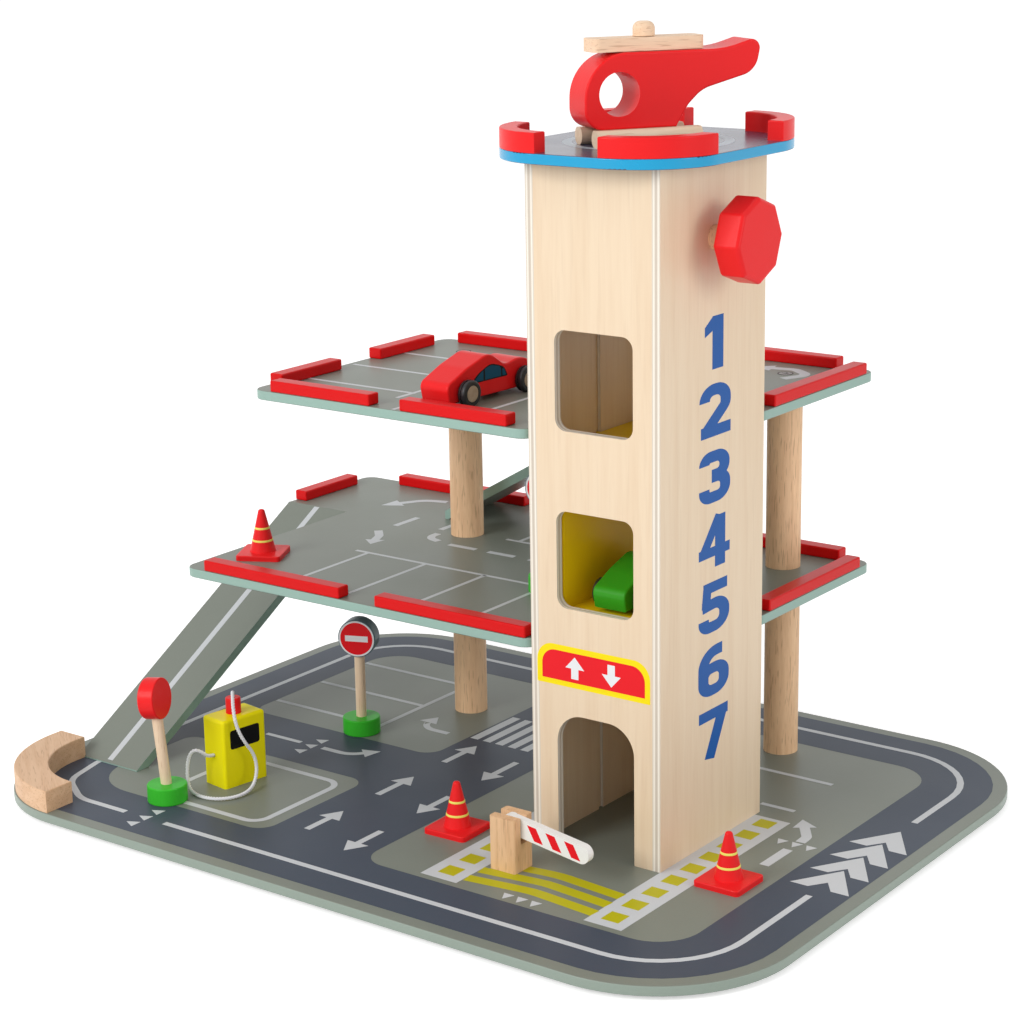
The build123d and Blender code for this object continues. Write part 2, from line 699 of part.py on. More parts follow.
# ---------------------------------------------------------------- cars
def wheel_set(x):
    """Two wooden wheels on one axle."""
    inner = CAR_W / 2 + WHEEL_GAP
    span = 2 * (inner + TYRE_W)
    axle = Pos(x, 0, TYRE_R) * Rot(90, 0, 0) * Cylinder(AXLE_R, span)
    wheels = axle
    for sign in (-1, 1):
        disc = Cylinder(HUB_R, TYRE_W)
        disc = fillet(disc.edges().filter_by(GeomType.CIRCLE), HUB_SOFT)
        wheels += Pos(x, sign * (inner + TYRE_W / 2), TYRE_R) * Rot(90, 0, 0) * disc
    return wheels


def tyre_pair(x):
    """Two rubber rings, each with a shallow groove round the tread."""
    inner = CAR_W / 2 + WHEEL_GAP
    tyres = []
    for sign in (-1, 1):
        ring = Cylinder(TYRE_R, TYRE_W)
        ring = fillet(ring.edges().filter_by(GeomType.CIRCLE), TYRE_SOFT)
        ring -= Cylinder(2 * TYRE_R, TYRE_GROOVE_W) - Cylinder(TYRE_R - TYRE_GROOVE, TYRE_GROOVE_W)
        ring -= Cylinder(HUB_R, TYRE_W)
        tyres.append(Pos(x, sign * (inner + TYRE_W / 2), TYRE_R) * Rot(90, 0, 0) * ring)
    return tyres


def car(colour, x, y, heading, ground):
    place = Pos(x, y, ground) * Rot(0, 0, heading)
    side = Plane(origin=(0, 0, 0), x_dir=(1, 0, 0), z_dir=(0, -1, 0))
    body = slab(side, corner_outline(CAR_CORNERS), CAR_W)
    body = fillet(body.edges().filter_by(Plane.XZ), CAR_SOFT)
    for axle_x in (-WHEEL_BASE / 2, WHEEL_BASE / 2):
        body -= Pos(axle_x, 0, TYRE_R) * Rot(90, 0, 0) * Cylinder(AXLE_R + RUN_GAP, 2 * CAR_W)
    put(f"{colour}_car_body", place * body)
    for end, axle_x in (("front", WHEEL_BASE / 2), ("rear", -WHEEL_BASE / 2)):
        put(f"{colour}_car_{end}_wheels", place * wheel_set(axle_x))
        put(f"{colour}_car_{end}_tyres", *[place * tyre for tyre in tyre_pair(axle_x)])


# ---------------------------------------------------------------- fuel pump
def hose_path(route):
    """Straight runs with the largest arc at each corner that its two runs allow."""
    points = [Vector(*p) for p in route]
    radii = []
    for before, here, after in zip(points, points[1:], points[2:]):
        run_in = here - before
        run_out = after - here
        half_turn = math.radians(run_in.get_angle(run_out)) / 2
        radii.append(0.45 * min(run_in.length, run_out.length) / math.tan(half_turn))
    print("hose radii", [round(r, 1) for r in radii])
    return FilletPolyline(*points, radius=radii)


def fuel_pump():
    place = Pos(PUMP_X, PUMP_Y, GROUND) * Rot(0, 0, PUMP_TURN)
    body = Pos(0, 0, PUMP_H / 2) * Box(PUMP_W, PUMP_D, PUMP_H)
    body = fillet(body.edges().filter_by(Axis.Z) + body.edges().sort_by(Axis.Z)[-4:], PUMP_SOFT)
    hole_z = HOSE_HOLE_Z - GROUND
    body -= Pos(0, -PUMP_D / 2, hole_z) * Rot(90, 0, 0) * Cylinder(HOSE_R, 2 * HOSE_SEAT)
    put("pump_body", place * body)
    nozzle = Pos(0, 0, PUMP_H + NOZZLE_H / 2) * Cylinder(NOZZLE_R, NOZZLE_H)
    nozzle = fillet(nozzle.edges().filter_by(GeomType.CIRCLE).sort_by(Axis.Z)[-1], EDGE_SOFT)
    nozzle -= Pos(0, 0, PUMP_H + NOZZLE_H) * Cylinder(HOSE_R, 2 * HOSE_SEAT)
    put("pump_nozzle", place * nozzle)
    start = (place * Pos(0, -PUMP_D / 2 + HOSE_SEAT, hole_z)).position
    end = (place * Pos(0, 0, PUMP_H + NOZZLE_H - HOSE_SEAT)).position
    beside = (place * Pos(0, -PUMP_D / 2 - HOSE_EXIT, hole_z)).position
    above = (place * Pos(0, 0, PUMP_H + NOZZLE_H + HOSE_EXIT)).position
    path = hose_path([start, beside] + HOSE_ROUTE + [above, end])
    hose = sweep((path ^ 0) * Circle(HOSE_R), path=path)
    expected = math.pi * HOSE_R**2 * path.length
    print("hose volume", round(hose.volume, 2), "section times length", round(expected, 2))
    put("pump_hose", hose)


# ---------------------------------------------------------------- signs and cones
def sign(name, x, y, surface, facing, lean, lean_to):
    place = Pos(x, y, surface)
    base = Pos(0, 0, SIGN_BASE_H / 2) * Cylinder(SIGN_BASE_R, SIGN_BASE_H)
    base = fillet(base.edges().filter_by(GeomType.CIRCLE), SIGN_SOFT)
    seat_z = SIGN_BASE_H - SIGN_SEAT
    tilt = Pos(0, 0, seat_z) * Rot(0, 0, lean_to) * Rot(0, lean, 0) * Rot(0, 0, -lean_to)
    pole_l = SIGN_DISC_H - SIGN_DISC_R - seat_z + SIGN_SEAT
    pole = tilt * (Pos(0, 0, pole_l / 2) * Cylinder(SIGN_POLE_R, pole_l))
    disc_z = SIGN_DISC_H - seat_z
    disc = Cylinder(SIGN_DISC_R, SIGN_DISC_T)
    disc = fillet(disc.edges().filter_by(GeomType.CIRCLE), SIGN_SOFT)
    disc = tilt * (Pos(0, 0, disc_z) * Rot(0, 0, facing) * Rot(0, 90, 0) * disc)
    put(f"{name}_base", place * (base - pole))
    put(f"{name}_disc", place * (disc - pole))
    put(f"{name}_pole", place * pole)


def cone(name, x, y, surface, turn):
    place = Pos(x, y, surface) * Rot(0, 0, turn)
    base = extrude(RectangleRounded(CONE_BASE, CONE_BASE, CONE_CORNER), CONE_BASE_T)
    base = fillet(base.edges().group_by(Axis.Z)[-1], EDGE_SOFT)
    height = CONE_H - CONE_BASE_T
    spike = Pos(0, 0, CONE_BASE_T + height / 2) * Cone(CONE_R, CONE_TIP_R, height)
    tip = spike.edges().filter_by(GeomType.CIRCLE).sort_by(Axis.Z)[-1]
    spike = fillet(tip, CONE_TIP_R * 0.8)
    put(name, place * (base + spike))


# ---------------------------------------------------------------- the whole toy
base_board()
rubber_feet()
corner_buffer()
tower_front_panel()
tower_back_panel()
tower_side_panels()
lift_shaft()
lift_knob()
hoist_string()
lift_car()
helipad()
lower_deck()
upper_deck()
columns()
ramps()
lower_rails()
upper_rails()
barrier()
helicopter()
car("red", *RED_CAR, UPPER_TOP)
car("green", *GREEN_CAR, LIFT_FLOOR_Z)
fuel_pump()
for sign_name, sign_values in SIGNS.items():
    sign(sign_name, *sign_values)
for cone_name, cone_values in CONES.items():
    cone(cone_name, *cone_values)
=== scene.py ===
# %% [markdown]
# # A wooden parking garage with a lift
# The real toy is made of painted boards, a tower of clear-coated birch ply, beech dowels and small
# lacquered play pieces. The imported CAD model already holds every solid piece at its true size, so this
# lesson adds what a solid can't say: paint, grain, printed roads, the twisted hose and soft studio light.

import math

import bpy
from mathutils import Matrix, Vector


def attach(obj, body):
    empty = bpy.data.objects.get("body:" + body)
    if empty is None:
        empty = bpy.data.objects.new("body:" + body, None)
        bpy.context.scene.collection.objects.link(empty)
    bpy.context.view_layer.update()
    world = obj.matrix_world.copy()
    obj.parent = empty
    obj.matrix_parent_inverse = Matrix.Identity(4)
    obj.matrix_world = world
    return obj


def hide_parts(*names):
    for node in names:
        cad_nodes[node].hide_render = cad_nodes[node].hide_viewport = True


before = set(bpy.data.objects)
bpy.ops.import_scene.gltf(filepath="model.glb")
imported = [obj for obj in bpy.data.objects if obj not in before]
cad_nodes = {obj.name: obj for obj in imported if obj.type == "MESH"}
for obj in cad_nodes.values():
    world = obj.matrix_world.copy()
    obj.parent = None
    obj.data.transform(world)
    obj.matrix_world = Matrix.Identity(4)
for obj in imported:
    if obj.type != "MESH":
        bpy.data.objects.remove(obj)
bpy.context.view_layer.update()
MM = 0.001
print("CAD pieces:", len(cad_nodes))

# %% [markdown]
# ## The camera
# The photograph was taken with a long lens from the front right, a little above the toy. A camera looks
# along its own -Z, so its axes are worked out from the angle round the toy, the height angle and a
# very small roll, and put into one matrix.

# %% Camera
CAMERA_PLACE = Vector((0.84191, -1.12896, 0.55845))
CAMERA_AZIMUTH = math.radians(36.546)
CAMERA_ELEVATION = math.radians(15.003)
CAMERA_ROLL = math.radians(-0.970)
back = Vector(
    (
        math.sin(CAMERA_AZIMUTH) * math.cos(CAMERA_ELEVATION),
        -math.cos(CAMERA_AZIMUTH) * math.cos(CAMERA_ELEVATION),
        math.sin(CAMERA_ELEVATION),
    )
)
right = (-back).cross(Vector((0, 0, 1))).normalized()
down = (-back).cross(right)
turned_right = math.cos(CAMERA_ROLL) * right - math.sin(CAMERA_ROLL) * down
turned_down = math.sin(CAMERA_ROLL) * right + math.cos(CAMERA_ROLL) * down
bpy.ops.object.camera_add()
camera = bpy.context.object
camera.name = "photo_camera"
camera.data.lens = 84.06
camera.data.sensor_width = 36
camera.data.clip_end = 60
turn = Matrix((turned_right, -turned_down, back)).transposed()
camera.matrix_world = Matrix.Translation(CAMERA_PLACE) @ turn.to_4x4()
bpy.context.scene.camera = camera
print("camera at", [round(v, 3) for v in CAMERA_PLACE])

# %% [markdown]
# ## Small helpers for nodes
# A material is a graph. These helpers add a node with its settings and join two sockets, so that each
# recipe below reads as a short list of steps.

# %% Node helpers


def add(tree, kind, **settings):
    """A new node, with its properties, or its inputs where no property has that name."""
    node = tree.nodes.new(kind)
    for key, value in settings.items():
        if hasattr(node, key):
            setattr(node, key, value)
        else:
            node.inputs[key.replace("_", " ")].default_value = value
    return node


def wire(tree, source, target):
    tree.links.new(source, target)


def math_node(tree, operation, a, b=None, clamp=False):
    node = add(tree, "ShaderNodeMath", operation=operation, use_clamp=clamp)
    for socket, value in zip(node.inputs, (a, b)):
        if value is None:
            continue
        if isinstance(value, (int, float)):
            socket.default_value = value
        else:
            wire(tree, value, socket)
    return node.outputs[0]


def mix_colour(tree, factor, a, b):
    """Colour a where the factor is 0 and b where it is 1."""
    node = add(tree, "ShaderNodeMix", data_type="RGBA")
    for socket, value in ((node.inputs[0], factor), (node.inputs[6], a), (node.inputs[7], b)):
        if isinstance(value, bpy.types.NodeSocket):
            wire(tree, value, socket)
        else:
            socket.default_value = value
    return node.outputs[2]


def new_group(name, inputs, outputs):
    """An empty node group with named sockets."""
    tree = bpy.data.node_groups.new(name, "ShaderNodeTree")
    for label, kind, value in inputs:
        socket = tree.interface.new_socket(label, in_out="INPUT", socket_type=kind)
        if value is not None:
            socket.default_value = value
    for label, kind in outputs:
        tree.interface.new_socket(label, in_out="OUTPUT", socket_type=kind)
    return tree, tree.nodes.new("NodeGroupInput").outputs, tree.nodes.new("NodeGroupOutput").inputs


FLOAT = "NodeSocketFloat"
COLOUR = "NodeSocketColor"
VECTOR = "NodeSocketVector"

# %% [markdown]
# ## Four shared effects
# Paint film: sprayed lacquer on wood is never quite one colour, and it has a fine orange-peel skin.
# Wood figure: long soft bands with short dark flecks, as in beech, or nearly none, as in birch.
# Ply edge: a cut edge of ply shows its veneers as thin pale and dark layers.
# Facing up: paint is often a different colour on the edges of a board than on its face.

# %% Paint film group
FILM, film_in, film_out = new_group(
    "paint_film",
    [("Place", VECTOR, None), ("Colour", COLOUR, (1, 1, 1, 1)), ("Tone", FLOAT, 0.1), ("Skin", FLOAT, 900.0),
     ("Gloss", FLOAT, 0.35)],
    [("Colour", COLOUR), ("Roughness", FLOAT), ("Height", FLOAT)],
)
cloud = add(FILM, "ShaderNodeTexNoise", Scale=26.0, Detail=3.0)
skin = add(FILM, "ShaderNodeTexNoise", Detail=2.0)
speck = add(FILM, "ShaderNodeTexNoise", Scale=2400.0, Detail=1.0)
for texture in (cloud, skin, speck):
    wire(FILM, film_in["Place"], texture.inputs["Vector"])
wire(FILM, film_in["Skin"], skin.inputs["Scale"])
mottle = math_node(FILM, "ADD", cloud.outputs[0], speck.outputs[0])
shift = math_node(FILM, "MULTIPLY", math_node(FILM, "SUBTRACT", mottle, 1.0), film_in["Tone"])
gain = math_node(FILM, "ADD", shift, 1.0)
scaled = add(FILM, "ShaderNodeVectorMath", operation="SCALE")
wire(FILM, film_in["Colour"], scaled.inputs[0])
wire(FILM, gain, scaled.inputs["Scale"])
wire(FILM, scaled.outputs[0], film_out["Colour"])
rough_shift = math_node(FILM, "MULTIPLY", math_node(FILM, "SUBTRACT", cloud.outputs[0], 0.5), 0.16)
wire(FILM, math_node(FILM, "ADD", film_in["Gloss"], rough_shift), film_out["Roughness"])
wire(FILM, skin.outputs[0], film_out["Height"])
print("group", FILM.name)

# %% Wood figure group
FIGURE, figure_in, figure_out = new_group(
    "wood_figure",
    [("Along", VECTOR, None), ("Pale", COLOUR, (1, 1, 1, 1)), ("Deep", COLOUR, (1, 1, 1, 1)),
     ("Fleck", COLOUR, (1, 1, 1, 1)), ("Flecks", FLOAT, 0.6)],
    [("Colour", COLOUR), ("Height", FLOAT)],
)
bands = add(FIGURE, "ShaderNodeTexNoise", Scale=0.16, Detail=3.0, Distortion=0.6)
fibres = add(FIGURE, "ShaderNodeTexNoise", Scale=1.1, Detail=3.0)
dashes = add(FIGURE, "ShaderNodeTexNoise", Scale=0.75, Detail=1.0)
for texture in (bands, fibres, dashes):
    wire(FIGURE, figure_in["Along"], texture.inputs["Vector"])
band_ramp = add(FIGURE, "ShaderNodeMapRange", From_Min=0.35, From_Max=0.65)
wire(FIGURE, bands.outputs[0], band_ramp.inputs[0])
fibre_shift = math_node(FIGURE, "MULTIPLY", math_node(FIGURE, "SUBTRACT", fibres.outputs[0], 0.5), 0.9)
band_part = math_node(FIGURE, "MULTIPLY", band_ramp.outputs[0], 0.6)
amount = math_node(FIGURE, "ADD", band_part, fibre_shift, True)
ground = mix_colour(FIGURE, amount, figure_in["Pale"], figure_in["Deep"])
dash_ramp = add(FIGURE, "ShaderNodeMapRange", From_Min=0.60, From_Max=0.68)
wire(FIGURE, dashes.outputs[0], dash_ramp.inputs[0])
dash_mask = math_node(FIGURE, "MULTIPLY", dash_ramp.outputs[0], figure_in["Flecks"], True)
wire(FIGURE, mix_colour(FIGURE, dash_mask, ground, figure_in["Fleck"]), figure_out["Colour"])
wire(FIGURE, math_node(FIGURE, "SUBTRACT", fibres.outputs[0], dash_mask), figure_out["Height"])
print("group", FIGURE.name)

# %% Ply edge group
LAYERS, layers_in, layers_out = new_group(
    "ply_edge",
    [("Depth", FLOAT, 0.5), ("Pale", COLOUR, (1, 1, 1, 1)), ("Grey", COLOUR, (1, 1, 1, 1))],
    [("Colour", COLOUR)],
)
veneers = add(LAYERS, "ShaderNodeValToRGB")
veneers.color_ramp.interpolation = "LINEAR"
stops = [(0.0, 0.55), (0.10, 0.60), (0.16, 0.0), (0.30, 0.0), (0.37, 0.75), (0.50, 0.85), (0.63, 0.75),
         (0.70, 0.0), (0.84, 0.0), (0.90, 0.60), (1.0, 0.55)]
ramp = veneers.color_ramp
while len(ramp.elements) < len(stops):
    ramp.elements.new(0.5)
for element, (place, shade) in zip(ramp.elements, stops):
    element.position = place
    element.color = (shade, shade, shade, 1)
wire(LAYERS, layers_in["Depth"], veneers.inputs[0])
shade = add(LAYERS, "ShaderNodeSeparateColor")
wire(LAYERS, veneers.outputs[0], shade.inputs[0])
veneer_colour = mix_colour(LAYERS, shade.outputs[0], layers_in["Pale"], layers_in["Grey"])
wire(LAYERS, veneer_colour, layers_out["Colour"])
print("group", LAYERS.name)

# %% Facing up group
FACING, facing_in, facing_out = new_group(
    "facing", [("Normal", VECTOR, None), ("Way", VECTOR, (0, 0, 1))], [("Mask", FLOAT)]
)
along = add(FACING, "ShaderNodeVectorMath", operation="DOT_PRODUCT")
wire(FACING, facing_in["Normal"], along.inputs[0])
wire(FACING, facing_in["Way"], along.inputs[1])
size = math_node(FACING, "ABSOLUTE", along.outputs["Value"])
sharp = add(FACING, "ShaderNodeMapRange", From_Min=0.55, From_Max=0.75)
wire(FACING, size, sharp.inputs[0])
wire(FACING, sharp.outputs[0], facing_out["Mask"])
print("group", FACING.name)

# %% [markdown]
# ## Materials
# Each recipe starts from Object coordinates, which stay with a piece when it moves. The shader itself
# stays in the material, and constant numbers are typed into its own sockets.

# %% Material starters


def new_material(name, roughness=0.5, coat=0.0, coat_roughness=0.15, specular=0.5):
    material = bpy.data.materials.new(name)
    material.use_nodes = True
    tree = material.node_tree
    shader = tree.nodes["Principled BSDF"]
    shader.inputs["Roughness"].default_value = roughness
    shader.inputs["Coat Weight"].default_value = coat
    shader.inputs["Coat Roughness"].default_value = coat_roughness
    shader.inputs["Specular IOR Level"].default_value = specular
    return material, tree, shader, add(tree, "ShaderNodeTexCoord")


def group_node(tree, group, **values):
    node = tree.nodes.new("ShaderNodeGroup")
    node.node_tree = group
    for key, value in values.items():
        node.inputs[key].default_value = value
    return node


def bump(tree, shader, height, distance, strength=1.0):
    """Turns a height in metres into the shader's normal."""
    node = add(tree, "ShaderNodeBump", Strength=strength, Distance=distance)
    wire(tree, height, node.inputs["Height"])
    wire(tree, node.outputs[0], shader.inputs["Normal"])


def rgb(red, green, blue):
    return (red, green, blue, 1.0)


# %% Lacquer and print


def lacquer(name, colour, gloss=0.34, tone=0.08, coat=0.06, skin=900.0, depth=0.00006):
    """Sprayed paint on wood."""
    material, tree, shader, place = new_material(name, coat=coat, specular=0.12)
    film = group_node(tree, FILM, Colour=colour, Tone=tone, Skin=skin, Gloss=gloss)
    wire(tree, place.outputs["Object"], film.inputs["Place"])
    wire(tree, film.outputs["Colour"], shader.inputs["Base Color"])
    wire(tree, film.outputs["Roughness"], shader.inputs["Roughness"])
    bump(tree, shader, film.outputs["Height"], depth)
    return material


def ink(name, colour, gloss=0.40, coat=0.1):
    """A thin print, with hardly any skin."""
    return lacquer(name, colour, gloss=gloss, coat=coat, depth=0.00002)


RED = lacquer("red_lacquer", rgb(0.84, 0.016, 0.018))
RAIL_RED = lacquer("deep_red_lacquer", rgb(0.70, 0.004, 0.005))
GREEN = lacquer("green_lacquer", rgb(0.045, 0.50, 0.030))
# Painted shade: the green car stands in the lift's shadow, so its body takes a darker copy of the same green.
SHADED_CAR_GREEN = lacquer("green_lacquer_painted_shade", rgb(0.035, 0.30, 0.012))
YELLOW = lacquer("yellow_lacquer", rgb(0.97, 0.86, 0.005))
LIFT_YELLOW = lacquer("lift_yellow_lacquer", rgb(0.95, 0.64, 0.006))
WHITE = lacquer("white_lacquer", rgb(0.90, 0.89, 0.87), tone=0.03)
SIGN_BLUE = lacquer("grey_blue_lacquer", rgb(0.10, 0.17, 0.20))
ROAD = lacquer("slate_road_print", rgb(0.064, 0.079, 0.108), gloss=0.42, coat=0.05, skin=1400.0,
               depth=0.00003)
LINE = ink("pale_line_print", rgb(0.60, 0.62, 0.64), gloss=0.45)
PRINT_YELLOW = ink("yellow_print", rgb(0.50, 0.46, 0.010), gloss=0.42)
PRINT_RED = ink("red_print", rgb(0.84, 0.010, 0.018))
PLATE_YELLOW = ink("plate_yellow_print", rgb(0.97, 0.76, 0.004))
RING_YELLOW = ink("ring_yellow_print", rgb(0.90, 0.80, 0.16), coat=0.06)
PRINT_WHITE = ink("white_print", rgb(0.84, 0.84, 0.86))
PRINT_BLUE = ink("blue_print", rgb(0.008, 0.095, 0.36))
GLASS_BLUE = ink("window_print", rgb(0.006, 0.085, 0.17), gloss=0.36, coat=0.06)
PRINT_BLACK = ink("black_print", rgb(0.006, 0.006, 0.007), gloss=0.38)
SCREW = ink("screw_zinc", rgb(0.30, 0.31, 0.30), gloss=0.35, coat=0.06)
PAD_RING = ink("pad_ring_print", rgb(0.42, 0.50, 0.56), gloss=0.30, coat=0.06)
print("lacquers and prints ready")

# %% [markdown]
# The boards are olive grey on their faces and a paler blue green on their sawn edges, so one material
# mixes two paints by the direction that a face looks in. The helipad does the same in two blues.

# %% Two-colour boards


def board_paint(name, face, edge, gloss, coat=0.12, tone=0.10):
    material, tree, shader, place = new_material(name, coat=coat, coat_roughness=0.25, specular=0.3)
    facing = group_node(tree, FACING, Way=(0, 0, 1))
    wire(tree, place.outputs["Normal"], facing.inputs["Normal"])
    film = group_node(tree, FILM, Tone=tone, Skin=700.0, Gloss=gloss)
    wire(tree, place.outputs["Object"], film.inputs["Place"])
    wire(tree, mix_colour(tree, facing.outputs[0], edge, face), film.inputs["Colour"])
    wire(tree, film.outputs["Colour"], shader.inputs["Base Color"])
    wire(tree, film.outputs["Roughness"], shader.inputs["Roughness"])
    bump(tree, shader, film.outputs["Height"], 0.00005)
    return material


BOARD = board_paint("olive_board", rgb(0.205, 0.225, 0.190), rgb(0.30, 0.45, 0.39), 0.42)
BASE = board_paint("olive_base_board", rgb(0.205, 0.225, 0.190), rgb(0.28, 0.34, 0.29), 0.42)
PAD = board_paint("helipad_blue", rgb(0.060, 0.065, 0.125), rgb(0.001, 0.34, 0.62), 0.25, coat=0.30)
print("boards ready")

# %% [markdown]
# Wood grain runs one way. A Mapping node squeezes the coordinates across the grain and stretches them
# along it, so the same figure group serves dowels that stand, lie or point at an angle.

# %% Beech
BEECH_FLECK = rgb(0.46, 0.25, 0.13)


def along_grain(tree, place, turn, squeeze):
    """Object coordinates turned until the grain runs along X, then stretched along it."""
    mapping = add(tree, "ShaderNodeMapping", vector_type="POINT")
    mapping.inputs["Rotation"].default_value = [math.radians(a) for a in turn]
    wire(tree, place.outputs["Object"], mapping.inputs["Vector"])
    stretch = add(tree, "ShaderNodeVectorMath", operation="MULTIPLY")
    stretch.inputs[1].default_value = squeeze
    wire(tree, mapping.outputs[0], stretch.inputs[0])
    return stretch.outputs[0]


def beech(name, turn=(0, 0, 0), pale=(0.96, 0.64, 0.38), deep=(0.78, 0.47, 0.26), flecks=0.5):
    """turn brings the grain's direction to X, in degrees."""
    material, tree, shader, place = new_material(name, roughness=0.52)
    grain = along_grain(tree, place, turn, (110.0, 1500.0, 1500.0))
    figure = group_node(tree, FIGURE, Pale=rgb(*pale), Deep=rgb(*deep), Fleck=BEECH_FLECK, Flecks=flecks)
    wire(tree, grain, figure.inputs["Along"])
    wire(tree, figure.outputs["Colour"], shader.inputs["Base Color"])
    bump(tree, shader, figure.outputs["Height"], 0.00008, 0.6)
    return material


HELI_HEADING = 237.0
BEECH_UP = beech("beech_upright", (0, 90, 0))
BEECH_POST = beech("beech_post", (0, 90, 0), pale=(0.84, 0.54, 0.31), deep=(0.70, 0.41, 0.21))
BEECH_RING = beech("beech_ring", (0, 0, 40), pale=(0.76, 0.50, 0.31), deep=(0.64, 0.38, 0.21))
BEECH_ROTOR = beech("beech_rotor", (0, 0, -HELI_HEADING), pale=(0.90, 0.66, 0.46),
                    deep=(0.80, 0.54, 0.35))
BEECH_SKID = beech("beech_skid", (0, 0, -HELI_HEADING), pale=(0.76, 0.62, 0.45), deep=(0.66, 0.50, 0.34),
                   flecks=0.3)
BEECH_POLE = beech("beech_pole", (0, 90, 0), pale=(0.86, 0.66, 0.46), deep=(0.76, 0.54, 0.36), flecks=0.35)
BEECH_HUB = beech("beech_hub", pale=(0.46, 0.38, 0.28), deep=(0.34, 0.27, 0.19), flecks=0.3)
print("beech ready")

# %% [markdown]
# The tower is birch ply: cream faces with a faint upright grain, and layered edges where it is cut.
# Each panel's material knows which way its thickness runs and where it starts.

# %% Birch ply
AXES = {"X": (1, 0, 0), "Y": (0, 1, 0)}
WALL_T = 5.3


def ply(name, axis, start):
    material, tree, shader, place = new_material(name, roughness=0.45, coat=0.10, coat_roughness=0.3)
    grain = along_grain(tree, place, (0, 90, 0), (30.0, 600.0, 600.0))
    figure = group_node(tree, FIGURE, Pale=rgb(0.83, 0.66, 0.47), Deep=rgb(0.77, 0.58, 0.39),
                        Fleck=rgb(0.62, 0.44, 0.28), Flecks=0.12)
    wire(tree, grain, figure.inputs["Along"])
    parts = add(tree, "ShaderNodeSeparateXYZ")
    wire(tree, place.outputs["Object"], parts.inputs[0])
    inside = math_node(tree, "SUBTRACT", parts.outputs[axis], start * MM)
    depth = math_node(tree, "DIVIDE", inside, WALL_T * MM)
    layers = group_node(tree, LAYERS, Pale=rgb(0.90, 0.83, 0.72), Grey=rgb(0.56, 0.47, 0.38))
    wire(tree, depth, layers.inputs["Depth"])
    facing = group_node(tree, FACING, Way=AXES[axis])
    wire(tree, place.outputs["Normal"], facing.inputs["Normal"])
    colour = mix_colour(tree, facing.outputs[0], layers.outputs["Colour"], figure.outputs["Colour"])
    wire(tree, colour, shader.inputs["Base Color"])
    bump(tree, shader, figure.outputs["Height"], 0.00004, 0.5)
    return material


TOWER_LEFT, TOWER_RIGHT, TOWER_FRONT, TOWER_BACK = 70.8, 158.8, -71.9, 38.0
PLY_FRONT = ply("ply_front", "Y", TOWER_FRONT)
PLY_BACK = ply("ply_back", "Y", TOWER_BACK - WALL_T)
PLY_LEFT = ply("ply_left", "X", TOWER_LEFT)
PLY_RIGHT = ply("ply_right", "X", TOWER_RIGHT - WALL_T)
print("ply ready")

# %% Rubber and cotton


def rubber(name, colour, roughness, transmission=0.0):
    material, tree, shader, place = new_material(name, roughness=roughness)
    shader.inputs["Transmission Weight"].default_value = transmission
    film = group_node(tree, FILM, Colour=colour, Tone=0.15, Skin=1800.0, Gloss=roughness)
    wire(tree, place.outputs["Object"], film.inputs["Place"])
    wire(tree, film.outputs["Colour"], shader.inputs["Base Color"])
    wire(tree, film.outputs["Roughness"], shader.inputs["Roughness"])
    bump(tree, shader, film.outputs["Height"], 0.00005)
    return material


TYRE = rubber("black_tyre", rgb(0.014, 0.015, 0.017), 0.42)
FOOT = rubber("clear_foot", rgb(0.82, 0.84, 0.82), 0.25, 0.6)


def cotton(name):
    """Fine fibres on top of strands that are real shapes."""
    material, tree, shader, place = new_material(name, roughness=0.85)
    fuzz = add(tree, "ShaderNodeTexNoise", Scale=3200.0, Detail=3.0)
    wire(tree, place.outputs["Object"], fuzz.inputs["Vector"])
    tint = mix_colour(tree, fuzz.outputs[0], rgb(0.70, 0.70, 0.74), rgb(0.95, 0.95, 0.96))
    wire(tree, tint, shader.inputs["Base Color"])
    shader.inputs["Sheen Weight"].default_value = 0.3
    bump(tree, shader, fuzz.outputs[0], 0.00012)
    return material


COTTON = cotton("white_cotton")
print("rubber and cotton ready")

# %% [markdown]
# ## Finishes for the CAD pieces
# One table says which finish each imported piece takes. The pieces themselves are not touched.

# %% Finish table
FINISHES = {
    BASE: ["base_board"],
    BOARD: ["lower_deck", "upper_deck", "lower_ramp", "upper_ramp"],
    PAD: ["helipad_plate"],
    PLY_FRONT: ["tower_front_panel"],
    PLY_BACK: ["tower_back_panel"],
    PLY_LEFT: ["tower_left_panel"],
    PLY_RIGHT: ["tower_right_panel"],
    FOOT: ["rubber_feet"],
    BEECH_RING: ["corner_buffer"],
    BEECH_UP: ["lower_columns", "upper_columns", "lift_shaft"],
    BEECH_POST: ["barrier_post", "barrier_pin"],
    BEECH_ROTOR: ["rotor_bar", "rotor_pin"],
    BEECH_SKID: ["helicopter_skids"],
    BEECH_POLE: ["entry_sign_pole", "no_entry_sign_pole", "deck_sign_pole"],
    RED: ["lift_knob", "helipad_curbs", "helicopter_body", "red_car_body", "pump_nozzle", "entry_sign_disc",
          "right_cone", "door_cone", "deck_cone"],
    RAIL_RED: ["lower_long_rails", "lower_short_rail", "upper_long_rail", "upper_medium_rails",
               "upper_short_rails"],
    GREEN: ["entry_sign_base", "no_entry_sign_base", "deck_sign_base"],
    # The green car's body takes the darker green, which is painted shade.
    SHADED_CAR_GREEN: ["green_car_body"],
    YELLOW: ["pump_body"],
    LIFT_YELLOW: ["lift_floor", "lift_roof", "lift_left_wall", "lift_right_wall"],
    WHITE: ["barrier_arm"],
    SIGN_BLUE: ["no_entry_sign_disc", "deck_sign_disc"],
    TYRE: ["red_car_front_tyres", "red_car_rear_tyres", "green_car_front_tyres", "green_car_rear_tyres"],
    BEECH_HUB: ["red_car_front_wheels", "red_car_rear_wheels", "green_car_front_wheels",
                "green_car_rear_wheels"],
    COTTON: ["hoist_string", "string_winding"],
}
finished = set()
